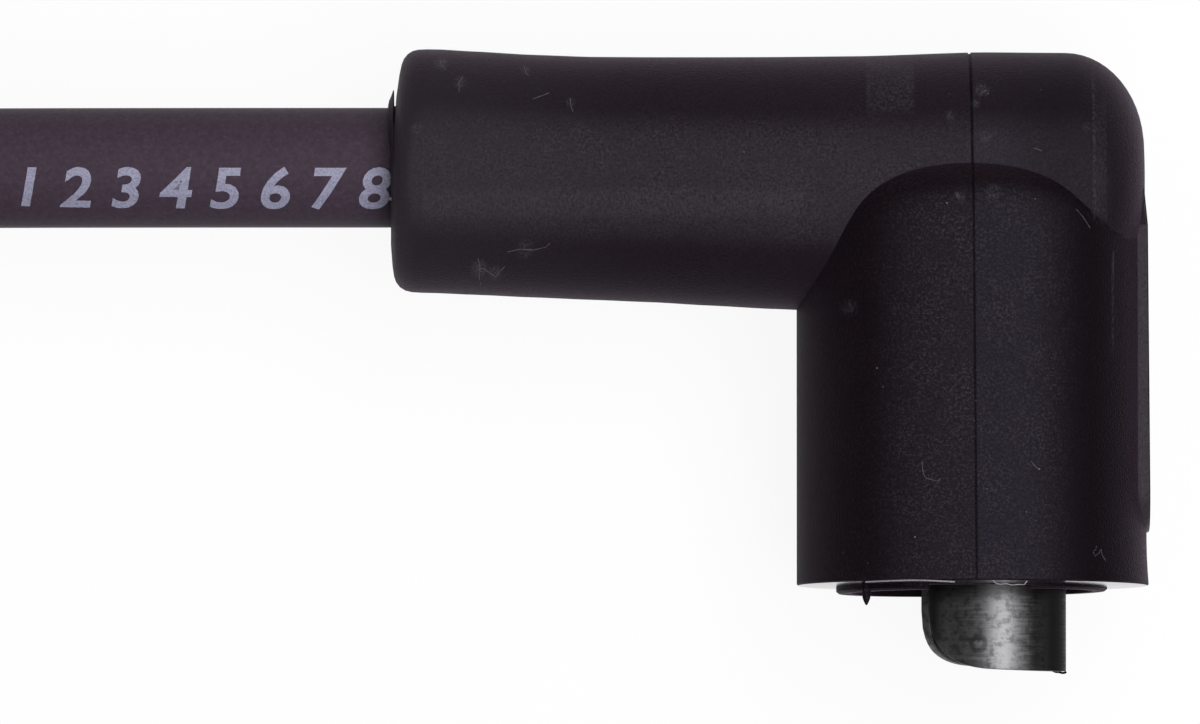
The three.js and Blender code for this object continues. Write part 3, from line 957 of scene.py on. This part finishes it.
def printed_numbers():
    data = bpy.data.curves.new("print", "FONT")
    data.body = PRINT_WORDS
    data.shear = PRINT_SLANT
    data.offset = PRINT_WEIGHT
    data.resolution_u = 4
    flat = bpy.data.objects.new("print", data)
    bpy.context.collection.objects.link(flat)
    mesh = finished_mesh(flat)
    bpy.data.objects.remove(flat)
    bm = bmesh.new()
    bm.from_mesh(mesh)
    bmesh.ops.remove_doubles(bm, verts=bm.verts, dist=0.0001)
    xs = [v.co.x for v in bm.verts]
    ys = [v.co.y for v in bm.verts]
    for i in range(1, PRINT_CUTS):
        level = min(ys) + (max(ys) - min(ys)) * i / PRINT_CUTS
        bmesh.ops.bisect_plane(bm, geom=bm.verts[:] + bm.edges[:] + bm.faces[:], plane_co=(0, level, 0),
                               plane_no=(0, 1, 0))
    for vertex in bm.verts:
        along = (vertex.co.x - min(xs)) / (max(xs) - min(xs))
        up = (vertex.co.y - min(ys)) / (max(ys) - min(ys))
        angle = math.radians(PRINT_TURN[1] + (PRINT_TURN[0] - PRINT_TURN[1]) * up)
        radius = LEAD_RADIUS + PRINT_LIFT
        vertex.co = (PRINT_START + PRINT_LENGTH * along, radius * math.sin(angle), radius * math.cos(angle))
    bmesh.ops.recalc_face_normals(bm, faces=bm.faces)
    return piece_from("lead_print", bm)


numbers = printed_numbers()
place(numbers, COIL_MOUTH)
lead_skin = skin_of(finished_mesh(lead))
for vertex in numbers.data.vertices:
    spot, normal, _, _ = lead_skin.find_nearest(vertex.co)
    vertex.co = spot + normal * PRINT_LIFT * MM
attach(numbers, "root")
print("printed numbers have", len(numbers.data.polygons), "faces")

# %% [markdown]
# Materials come last. Every colour is written as its sRGB hex value and turned to linear by one
# function, and one small function adds a node with its settings and links. Patterns are laid out in
# millimetres round a boot's mouth, so a mark stays where it was measured. To lay a colour over another
# takes two nodes. A Map Range turns a pattern from its socket 1 to its socket 2 into a share from socket
# 3 to socket 4, and a Mix puts its second colour, socket 7, over its first, socket 6, by that share.

# %% Helpers for materials
SOFT_STEP = {"interpolation_type": "SMOOTHSTEP"}
MIX_COLOURS = {"data_type": "RGBA", "out": 2}


def linear(hex_colour):
    """An sRGB hex colour as linear RGBA."""
    channels = [int(hex_colour[i:i + 2], 16) / 255 for i in (1, 3, 5)]
    return [c / 12.92 if c <= 0.04045 else ((c + 0.055) / 1.055) ** 2.4 for c in channels] + [1]


def add(tree, kind, wires=None, out=0, **settings):
    """Adds a node and returns an output. A wire is a socket's value, or an output to link to it."""
    node = tree.nodes.new("ShaderNode" + kind)
    for name, value in settings.items():
        setattr(node, name, value)
    for socket, value in (wires or {}).items():
        if isinstance(value, bpy.types.NodeSocket):
            tree.links.new(value, node.inputs[socket])
        else:
            node.inputs[socket].default_value = value
    return node.outputs[out] if node.outputs else node


def empty_material(name):
    material = bpy.data.materials.new(name)
    material.use_nodes = True
    material.node_tree.nodes.clear()
    return material, material.node_tree


def millimetres_from(tree, mouth):
    """Object coordinates in millimetres from a boot's mouth."""
    from_mouth = {"Location": -mouth / MM, "Scale": (1 / MM, 1 / MM, 1 / MM)}
    return add(tree, "Mapping", {"Vector": add(tree, "TexCoord", out="Object"), **from_mouth})


def lay_over(tree, shade, colour, pattern, low, high, least=0.0, most=1.0):
    """Lays a colour over a shade, by least where a pattern is low and by most where it is high."""
    share = add(tree, "MapRange", {0: pattern, 1: low, 2: high, 3: least, 4: most}, **SOFT_STEP)
    return add(tree, "Mix", {0: share, 6: shade, 7: linear(colour)}, **MIX_COLOURS)


print("the clean rubber's #1f181f is", [round(channel, 4) for channel in linear("#1f181f")])

# %% [markdown]
# Boots like these are EPDM rubber, moulded in a steel tool and cured. The black has a warm purple cast
# and a very fine leathery grain, where the tool was blasted. Rubber is matt and reflects little, so the
# eye reads the shape by soft light. Where the skin faces up it is paler, which is dust and a painted
# highlight of the lamp overhead. Pale flecks on the tops of the grain are dust and painted glints, and
# its pits get a painted shade. How far a point faces up comes from its own normal, so the paler skin
# stays on the boot from any side.

# %% Grain, dust and painted light of moulded rubber
GRAIN = 0.15  # the blasted grain is nearer 0.05 mm, and is drawn coarser so that it shows
CLOUD = 2.5


def dust_and_highlight_share(tree, dust_and_light_from, steep, level):
    """Dust and a painted highlight: 1 within level degrees of the way they come from, 0 past steep."""
    faces = add(tree, "TexCoord", out="Normal")
    faced_up = add(tree, "VectorMath", {0: faces, 1: dust_and_light_from}, out="Value", operation="DOT_PRODUCT")
    low, high = [math.cos(math.radians(angle)) for angle in (steep, level)]
    return add(tree, "MapRange", {0: faced_up, 1: low, 2: high}, **SOFT_STEP)


def dust_and_glint_flecks(tree, place_mm, leather, paler_share):
    """Pale flecks on the grain's tops, dust and painted glints, stronger where the skin faces up, in
    clouds.
    """
    cloud = add(tree, "TexNoise", {"Vector": place_mm, "Scale": 1 / CLOUD, "Detail": 3})
    tops = add(tree, "MapRange", {0: leather, 1: 0.52, 2: 0.6}, **SOFT_STEP)
    facing_up_strength = add(tree, "MapRange", {0: paler_share, 3: 0.1, 4: 0.48}, **SOFT_STEP)
    patchy = add(tree, "MapRange", {0: cloud, 1: 0.3, 2: 0.7, 3: 0.5, 4: 1.3}, **SOFT_STEP)
    flecks = add(tree, "Math", {0: tops, 1: facing_up_strength}, operation="MULTIPLY")
    return add(tree, "Math", {0: flecks, 1: patchy}, operation="MULTIPLY")


print("grain is drawn at", GRAIN, "mm, clouds of dust at", CLOUD, "mm")

# %% [markdown]
# Years of handling left pale rubbed spots on the boot's upper side, and a few straight ones where an
# edge pressed on it. One straight band, near the leg's far end, is a painted reflection of the lamp on its
# rounding. Each is a place in millimetres from the mouth with a soft edge, broken up by noise.

# %% Marks of handling
SCUFF_GRAIN = 0.13
SCUFF_CORE = 0.2
SCUFF_STRETCH = (1, 0.4, 1)
BAND_SOFT_LONG = 0.08
BAND_SOFT_HIGH = 0.9
scuffs = [
    (34.4, 4.2, 0.6, 0.6), (34.0, 3.4, 0.4, 0.45), (34.6, 1.4, 0.5, 0.4), (32.6, 2.7, 0.45, 0.35),
    (3.0, 5.9, 0.6, 0.5), (4.1, 4.7, 0.5, 0.5), (7.9, 5.5, 0.4, 0.45), (10.5, 3.5, 0.4, 0.35),
    (5.2, -6.1, 0.65, 0.7), (6.1, -6.3, 0.55, 0.6), (7.9, -5.0, 0.7, 0.35), (33.0, -2.2, 0.5, 0.5),
    (35.0, -1.9, 0.6, 0.4), (26.7, -8.5, 0.7, 0.26), (1.6, 1.9, 0.5, 0.3), (40.5, 2.0, 0.4, 0.3),
]
# the third band, near the leg's far end, is a painted reflection of the lamp, not wear
worn_bands_and_a_reflection = [
    (13.0, -2.4, 11.0, 0.3, 0.2), (29.1, 4.55, 1.35, 1.15, 0.22), (41.3, -0.1, 0.3, 3.0, 0.13),
    (40.9, 1.0, 0.05, 3.8, 0.3), (42.0, -8.1, 0.03, 2.4, 0.3),
]


def marks_in_place(tree, place_mm):
    """The strongest mark at each point: a scuff fades from its core, a band past its edges."""
    worn = 0.0
    for along, up, radius, strength in scuffs:
        flat_from = {0: place_mm, 1: (1, 1, 0), 2: (-along, -up, 0)}
        apart = add(tree, "VectorMath", flat_from, operation="MULTIPLY_ADD")
        apart = add(tree, "VectorMath", {0: apart}, out="Value", operation="LENGTH")
        fade = {0: apart, 1: SCUFF_CORE * radius, 2: radius, 3: strength, 4: 0}
        mark = add(tree, "MapRange", fade, **SOFT_STEP)
        worn = add(tree, "Math", {0: mark, 1: worn}, operation="MAXIMUM")
    for along, up, half_long, half_high, strength in worn_bands_and_a_reflection:
        apart = add(tree, "VectorMath", {0: place_mm, 1: (along, up, 0)}, operation="SUBTRACT")
        apart = add(tree, "VectorMath", {0: apart}, operation="ABSOLUTE")
        apart_x, apart_y, _ = add(tree, "SeparateXYZ", {0: apart}).node.outputs
        fade = {0: apart_x, 1: half_long, 2: half_long + BAND_SOFT_LONG, 3: strength, 4: 0}
        long_way = add(tree, "MapRange", fade, **SOFT_STEP)
        fade = {0: apart_y, 1: half_high, 2: half_high + BAND_SOFT_HIGH, 3: 1, 4: 0}
        high_way = add(tree, "MapRange", fade, **SOFT_STEP)
        mark = add(tree, "Math", {0: long_way, 1: high_way}, operation="MULTIPLY")
        worn = add(tree, "Math", {0: mark, 1: worn}, operation="MAXIMUM")
    return worn


def handling_marks(tree, place_mm):
    """How much the skin is worn, one band being a painted reflection: broken up by noise, on the upper side
    alone.
    """
    worn = marks_in_place(tree, place_mm)
    stretched = add(tree, "VectorMath", {0: place_mm, 1: SCUFF_STRETCH}, operation="MULTIPLY")
    rub = {"Vector": stretched, "Scale": 1 / SCUFF_GRAIN, "Detail": 4, "Roughness": 0.8}
    broken = add(tree, "MapRange", {0: add(tree, "TexNoise", rub), 1: 0.44, 2: 0.6}, **SOFT_STEP)
    height = add(tree, "SeparateXYZ", {0: place_mm}, out=2)
    upper = add(tree, "MapRange", {0: height, 1: 0.5, 2: 2.5}, **SOFT_STEP)
    worn = add(tree, "Math", {0: worn, 1: broken}, operation="MULTIPLY")
    return add(tree, "Math", {0: worn, 1: upper}, operation="MULTIPLY")


print("marks of handling:", len(scuffs) + len(worn_bands_and_a_reflection))

# %% [markdown]
# The right-angle boot isn't one even black. Its leg is paler towards the mouth, and the rounding of the
# mouth gets painted light over its shade. It is darker past the tower, and the tower's right flank gets a
# painted shade. The two halves of the tool left a dark parting line round the tower, and a slightly bluer
# skin on its right.

# %% Tones and painted light of the right-angle boot
PARTING_SLOPE = math.tan(math.radians(-PARTING_TURN))
PARTING_SOFT = (0.03, 0.09)
PARTING_BLACK = "#050405"
BLUER_SKIN = "#343949"
PALER_TONE_AND_PAINTED_LIGHT = "#3c363d"
SCUFFS_AND_PAINTED_REFLECTION = "#5a555e"


def elbow_tones_and_painted_light(tree, shade, place_mm, paler_share, seam, far_side):
    """Tones along the boot with painted light and shade, marks of handling and the parting line, whose
    darkness is seam.
    """
    x, y, _ = add(tree, "SeparateXYZ", {0: place_mm}).node.outputs
    seam_x = add(tree, "Math", {0: y, 1: PARTING_SLOPE, 2: PARTING_PLACE}, operation="MULTIPLY_ADD")
    from_seam = add(tree, "Math", {0: x, 1: seam_x}, operation="SUBTRACT")
    right = add(tree, "MapRange", {0: from_seam, 1: -0.05, 2: 0.05, 4: 0.07}, **SOFT_STEP)
    right = add(tree, "Math", {0: right, 1: paler_share}, operation="MULTIPLY")
    shade = add(tree, "Mix", {0: right, 6: shade, 7: linear(BLUER_SKIN)}, **MIX_COLOURS)
    shade = lay_over(tree, shade, PALER_TONE_AND_PAINTED_LIGHT, x, 0.0, 17.0, 0.28, 0.0)
    # painted light over the shade on the rounding of the mouth
    shade = lay_over(tree, shade, PALER_TONE_AND_PAINTED_LIGHT, x, 0.5, 1.8, 0.45, 0.0)
    # darker past the tower; on the tower's right flank this is a painted shade
    dark, dark_from, dark_to, dark_share = far_side
    shade = lay_over(tree, shade, dark, x, dark_from, dark_to, 0.0, dark_share)
    marks = handling_marks(tree, place_mm)
    shade = add(tree, "Mix", {0: marks, 6: shade, 7: linear(SCUFFS_AND_PAINTED_REFLECTION)}, **MIX_COLOURS)
    off_seam = add(tree, "Math", {0: from_seam}, operation="ABSOLUTE")
    return lay_over(tree, shade, PARTING_BLACK, off_seam, *PARTING_SOFT, seam, 0.0)


print("parting line leans", PARTING_TURN, "degrees")

# %% [markdown]
# All moulded rubber follows one recipe, from its clean colour to its paler one where it faces up, which
# is dust and a painted highlight of the lamp. It has hardly any gloss, so its specular level is near
# nought. The bloom on its skin scatters a little pale purple light at a slant, which the sheen gives
# the eye, so that the flanks don't go dead black. Only the walls of the pad, which the tool polished,
# are smoother.

# %% Moulded rubber of the boots
GRAIN_DEPTH = 0.08
PAINTED_SHADE_IN_PITS = "#080608"
DUST_AND_GLINT_FLECKS = "#423c44"
BLOOM = {"Sheen Weight": 0.12, "Sheen Roughness": 0.3, "Sheen Tint": linear("#dcb4dc")}


def moulded_rubber(name, mouth, clean, dust_and_highlight_colour, steep, level, dust_and_light_from=(0.12, 0, 0.99), roughness=0.5,
                   specular=0.03, seam=0.0, far_side=None):
    """Black rubber with a fine leathery grain, from its clean colour to a paler one of dust and painted
    highlight.
    """
    material, tree = empty_material(name)
    place_mm = millimetres_from(tree, mouth)
    paler_share = dust_and_highlight_share(tree, dust_and_light_from, steep, level)
    leather = add(tree, "TexNoise", {"Vector": place_mm, "Scale": 1 / GRAIN, "Detail": 3, "Roughness": 0.8})
    flecks = dust_and_glint_flecks(tree, place_mm, leather, paler_share)
    # the paler colour where the skin faces up is dust and a painted highlight of the lamp
    shade = add(tree, "Mix", {0: paler_share, 6: linear(clean), 7: linear(dust_and_highlight_colour)}, **MIX_COLOURS)
    # pale flecks: dust and painted glints on the tops of the grain
    shade = add(tree, "Mix", {0: flecks, 6: shade, 7: linear(DUST_AND_GLINT_FLECKS)}, **MIX_COLOURS)
    # painted shade in the pits of the grain
    shade = lay_over(tree, shade, PAINTED_SHADE_IN_PITS, leather, 0.34, 0.46, 0.45, 0.0)
    if seam:
        shade = elbow_tones_and_painted_light(tree, shade, place_mm, paler_share, seam, far_side)
    bump = add(tree, "Bump", {"Height": leather, "Distance": GRAIN_DEPTH * MM})
    shader = add(tree, "BsdfPrincipled", {"Base Color": shade, "Roughness": roughness, **BLOOM,
                                          "Specular IOR Level": specular, "Normal": bump})
    add(tree, "OutputMaterial", {"Surface": shader})
    return material


leg_rubber = moulded_rubber("moulded rubber, leg", COIL_MOUTH, "#1f181f", "#2e282f", 37, 13,
                            dust_and_light_from=(0.12, -0.045, 0.99), seam=0.75, far_side=("#120e12", 34.0, 39.0, 0.45))
# the tower's far side is a painted shade on its right flank
tower_rubber = moulded_rubber("moulded rubber, tower", COIL_MOUTH, "#150e13", "#231e24", 44, 3,
                              dust_and_light_from=(0.07, 0, 1), specular=0.02, seam=0.65,
                              far_side=("#080508", 36.6, 41.2, 0.85))
pad_rubber = moulded_rubber("moulded rubber, smooth wall", COIL_MOUTH, "#2f292f", "#312b31", 36, 4,
                            roughness=0.35, specular=0.16)
straight_rubber = moulded_rubber("moulded rubber, plug end", PLUG_MOUTH, "#161216", "#1f1a1f", 36, 10)
print("moulded rubbers:", len(bpy.data.materials))

# %% [markdown]
# The lead's jacket is the same family of rubber, but extruded: it has no grain of a tool, only a faint
# mottle of the compound and a little dust. Noise of one size in every direction needs no map along the
# cord, and looks the same all round the coil. Its bloom is rubbed off where it is pulled, so its sheen
# is faint.

# %% Extruded rubber of the lead
MOTTLE = 0.35
JACKET_DUST = 0.22
MOTTLE_DEPTH = 0.006


def extruded_rubber(name, mouth):
    material, tree = empty_material(name)
    place_mm = millimetres_from(tree, mouth)
    mottle = add(tree, "TexNoise", {"Vector": place_mm, "Scale": 1 / MOTTLE, "Detail": 2})
    paler_share = add(tree, "TexNoise", {"Vector": place_mm, "Scale": 1 / JACKET_DUST, "Detail": 3})
    shade = lay_over(tree, linear("#3a2f3a"), "#403440", mottle, 0.3, 0.7)
    shade = lay_over(tree, shade, "#473b47", paler_share, 0.5, 0.8)
    bump = add(tree, "Bump", {"Height": mottle, "Distance": MOTTLE_DEPTH * MM})
    shader = add(tree, "BsdfPrincipled", {"Base Color": shade, "Roughness": 0.6, "Specular IOR Level": 0.1,
                                          "Sheen Weight": 0.05, "Sheen Roughness": 0.3, "Normal": bump})
    add(tree, "OutputMaterial", {"Surface": shader})
    return material


jacket_rubber = extruded_rubber("extruded rubber jacket", COIL_MOUTH)
print("mottle is", MOTTLE, "mm, dust", JACKET_DUST, "mm")

# %% [markdown]
# The terminals are pressed from tinned steel sheet. Tin is a soft grey metal. Sliding the terminal over
# its post leaves fine scratches round it, so the noise is squeezed along the sleeve, and use leaves dull
# stains. A punch left a small ring, which is a band of distance from one point.

# %% Tinned sheet
SCRATCH = 0.12
STAIN = 0.45
SCRATCH_STRETCH = 14
SCRATCH_DEPTH = 0.003
RING_RADIUS = 0.4
RING_PLACE = (34.2, -27.9, 4.25)
PAINTED_DARK_REFLECTION = "#1d1d1d"


def sleeve_painted_reflections(tree, shade, place_mm, axis):
    """Painted reflection of the dark beyond the lamp on the flanks, more on the right; painted shade below
    the rim.
    """
    x, y, _ = add(tree, "SeparateXYZ", {0: place_mm}).node.outputs
    from_axis = add(tree, "Math", {0: x, 1: axis}, operation="SUBTRACT")
    off_axis = add(tree, "Math", {0: from_axis}, operation="ABSOLUTE")
    # painted dark reflection on both flanks, and on the right from nearer the axis
    shade = lay_over(tree, shade, PAINTED_DARK_REFLECTION, off_axis, 2.5, 3.5)
    shade = lay_over(tree, shade, PAINTED_DARK_REFLECTION, from_axis, 1.8, 2.5, 0.0, 0.7)
    # painted shade just under the boot's rim
    return lay_over(tree, shade, "#262626", y, -25.6, -24.7, 0.0, 0.7)


def punched_ring(tree, shade, place_mm, ring):
    apart = add(tree, "VectorMath", {0: place_mm, 1: ring}, out="Value", operation="DISTANCE")
    from_ring = add(tree, "Math", {0: apart, 1: RING_RADIUS}, operation="SUBTRACT")
    from_ring = add(tree, "Math", {0: from_ring}, operation="ABSOLUTE")
    return lay_over(tree, shade, "#2a2a2a", from_ring, 0.05, 0.24, 0.55, 0.0)


def tinned_sheet(name, mouth, axis=None, ring=None):
    """Dull tin with scratches and stains. A sleeve's axis adds painted reflections and shade, a place adds
    its ring.
    """
    material, tree = empty_material(name)
    place_mm = millimetres_from(tree, mouth)
    squeeze = (1 / SCRATCH_STRETCH, 1, 1 / SCRATCH_STRETCH)
    squeezed = add(tree, "VectorMath", {0: place_mm, 1: squeeze}, operation="MULTIPLY")
    drawn = {"Vector": squeezed, "Scale": 1 / SCRATCH, "Detail": 4, "Roughness": 0.6}
    scratches = add(tree, "TexNoise", drawn)
    blotches = {"Vector": place_mm, "Scale": 1 / STAIN, "Detail": 6, "Roughness": 0.75}
    shade = lay_over(tree, linear("#656566"), "#757577", scratches, 0.3, 0.7)
    shade = lay_over(tree, shade, "#38383a", add(tree, "TexNoise", blotches), 0.47, 0.62, 0.0, 0.62)
    if axis is not None:
        shade = sleeve_painted_reflections(tree, shade, place_mm, axis)
    if ring is not None:
        shade = punched_ring(tree, shade, place_mm, ring)
    rough = add(tree, "MapRange", {0: scratches, 1: 0.3, 2: 0.75, 3: 0.33, 4: 0.47}, **SOFT_STEP)
    bump = add(tree, "Bump", {"Height": scratches, "Distance": SCRATCH_DEPTH * MM})
    shader = add(tree, "BsdfPrincipled", {"Base Color": shade, "Roughness": rough, "Metallic": 1.0,
                                          "Specular Tint": linear("#c4c4c4"), "Normal": bump})
    add(tree, "OutputMaterial", {"Surface": shader})
    return material


tin = tinned_sheet("tinned steel sheet", COIL_MOUTH, axis=SLEEVE_AXIS, ring=RING_PLACE)
plug_tin = tinned_sheet("tinned steel sheet, plug end", PLUG_MOUTH)
print("scratches are", SCRATCH, "mm wide, stains", STAIN, "mm")

# %% [markdown]
# The other finishes are small or hidden: the lead's silicone is pale and soft to the eye, its carbon
# plait dull black, and the clip's spring wire bright. Rubber that was cut shines a little. The pale threads
# at the rim are a painted highlight, one of them on torn skin, and lint and ink are matt, one pale hair
# being a painted highlight too. Each is one colour that wears to another in patches.

# %% Plain finishes
PATCH_DEPTH = 0.01


def plain_finish(name, mouth, colour, worn, roughness, metallic=0.0, size=0.4):
    """A finish of one colour that wears to another in patches of a size in millimetres."""
    material, tree = empty_material(name)
    place_mm = millimetres_from(tree, mouth)
    patches = add(tree, "TexNoise", {"Vector": place_mm, "Scale": 1 / size, "Detail": 3})
    shade = lay_over(tree, linear(colour), worn, patches, 0.35, 0.75)
    bump = add(tree, "Bump", {"Height": patches, "Distance": PATCH_DEPTH * MM})
    shader = add(tree, "BsdfPrincipled", {"Base Color": shade, "Roughness": roughness, "Metallic": metallic,
                                          "Normal": bump})
    add(tree, "OutputMaterial", {"Surface": shader})
    return material


pale_silicone = plain_finish("silicone insulation", COIL_MOUTH, "#b9b4aa", "#a8a297", 0.6)
carbon_plait = plain_finish("carbon impregnated plait", COIL_MOUTH, "#1c1c1e", "#2b2b2e", 0.8, size=0.15)
spring_steel = plain_finish("spring steel wire", PLUG_MOUTH, "#b0b2b5", "#94969a", 0.25, metallic=1.0)
sheared_edge = plain_finish("sheared steel edge", COIL_MOUTH, "#6e6e6e", "#4a4a4a", 0.5, metallic=1.0)
cut_rim = plain_finish("cut rubber rim", COIL_MOUTH, "#241f24", "#2c262c", 0.1, size=0.3)
# pale: a painted highlight on the torn skin and along the rim's edge
torn_skin_and_highlight = plain_finish("torn rubber skin", COIL_MOUTH, "#a39da3", "#6a646a", 0.4, size=0.1)
# also the colour of one hair that is a painted highlight of the arch's edge
pale_lint_and_highlight = plain_finish("pale lint", COIL_MOUTH, "#78727b", "#4c4750", 0.8, size=0.1)
print_ink = plain_finish("pale printing ink", COIL_MOUTH, "#9190a8", "#737289", 0.55, size=0.12)
print("materials:", len(bpy.data.materials))

# %% [markdown]
# Each piece gets its finishes by slot. The nodes that the scene doesn't replace keep the packed
# model's meshes, and get theirs in the same way.

# %% Dressing the pieces
def dress(piece, *materials):
    slots = piece.data.materials
    while len(slots) < len(materials):
        slots.append(None)
    for i, material in enumerate(materials):
        slots[i] = material


dress(boot, leg_rubber, cut_rim, tower_rubber, pad_rubber)
dress(straight_boot, straight_rubber)
dress(lead, jacket_rubber)
dress(terminal, tin, sheared_edge)
dress(numbers, print_ink)
dress(nub, tower_rubber)
dress(torn_skin_and_rim_highlight, torn_skin_and_highlight)
dress(lint_and_highlight, pale_lint_and_highlight)
for end in ("coil_end", "plug_end"):
    dress(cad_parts["lead_jacket_" + end], jacket_rubber)
    dress(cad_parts["lead_insulation_" + end], pale_silicone)
    dress(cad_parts["lead_core_" + end], carbon_plait)
dress(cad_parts["plug_terminal"], plug_tin)
dress(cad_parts["plug_terminal_clip"], spring_steel)
print("the boot wears", [material.name for material in boot.data.materials])

# %% [markdown]
# The studio has a large pale floor. Seen by the camera or in a reflection, it is near its own white, so
# that the object stands clear, while to everything else it is matt paper, which keeps the shadow.

# %% Studio: floor
FLOOR_SIZE = 6.0
FLOOR_WHITE = 0.92
PAPER = 0.02


def studio_floor():
    bm = bmesh.new()
    bmesh.ops.create_grid(bm, x_segments=1, y_segments=1, size=FLOOR_SIZE / 2)
    floor = piece_from("floor", bm)
    material, tree = empty_material("pale studio floor")
    paper = add(tree, "TexNoise", {"Vector": add(tree, "TexCoord", out="Object"), "Scale": 1 / PAPER})
    pale = lay_over(tree, linear("#eeeeee"), "#f2f2f2", paper, 0.3, 0.7)
    matt = add(tree, "BsdfDiffuse", {"Color": pale})
    white = add(tree, "Emission", {"Color": (1, 1, 1, 1), "Strength": 1.0})
    ray = add(tree, "LightPath").node.outputs
    seen = add(tree, "Math", {0: ray["Is Camera Ray"], 1: ray["Is Glossy Ray"]}, operation="MAXIMUM")
    seen = add(tree, "Math", {0: seen, 1: ray["Is Transmission Ray"]}, operation="MAXIMUM")
    share = add(tree, "Math", {0: seen, 1: FLOOR_WHITE}, operation="MULTIPLY")
    both = add(tree, "MixShader", {0: share, 1: matt, 2: white})
    add(tree, "OutputMaterial", {"Surface": both})
    floor.data.materials.append(material)
    return floor


studio_floor()
print("floor is", FLOOR_SIZE, "m across")

# %% [markdown]
# An even pale sky and one soft lamp over the camera light it at a plain level, at which a colour renders
# about as it is written.

# %% Studio: light
SKY_LEVEL = 0.22
LAMP_PLACE = (0.175, 0.0, 0.5)
LAMP_SIZE = (0.34, 0.95)
LAMP_POWER = 3.8

world = bpy.data.worlds.new("even pale sky")
world.use_nodes = True
world.node_tree.nodes.clear()
sky = add(world.node_tree, "Background", {"Color": (1, 1, 1, 1), "Strength": SKY_LEVEL})
add(world.node_tree, "OutputWorld", {"Surface": sky})
bpy.context.scene.world = world

lamp_data = bpy.data.lights.new("softbox", "AREA")
lamp_data.shape = "ELLIPSE"
lamp_data.size, lamp_data.size_y = LAMP_SIZE
lamp_data.energy = LAMP_POWER
lamp = bpy.data.objects.new("softbox", lamp_data)
lamp.location = view_target + Vector(LAMP_PLACE)
bpy.context.collection.objects.link(lamp)

bpy.context.scene.view_settings.view_transform = "Standard"
print("studio has", len(bpy.data.lights), "lamp")
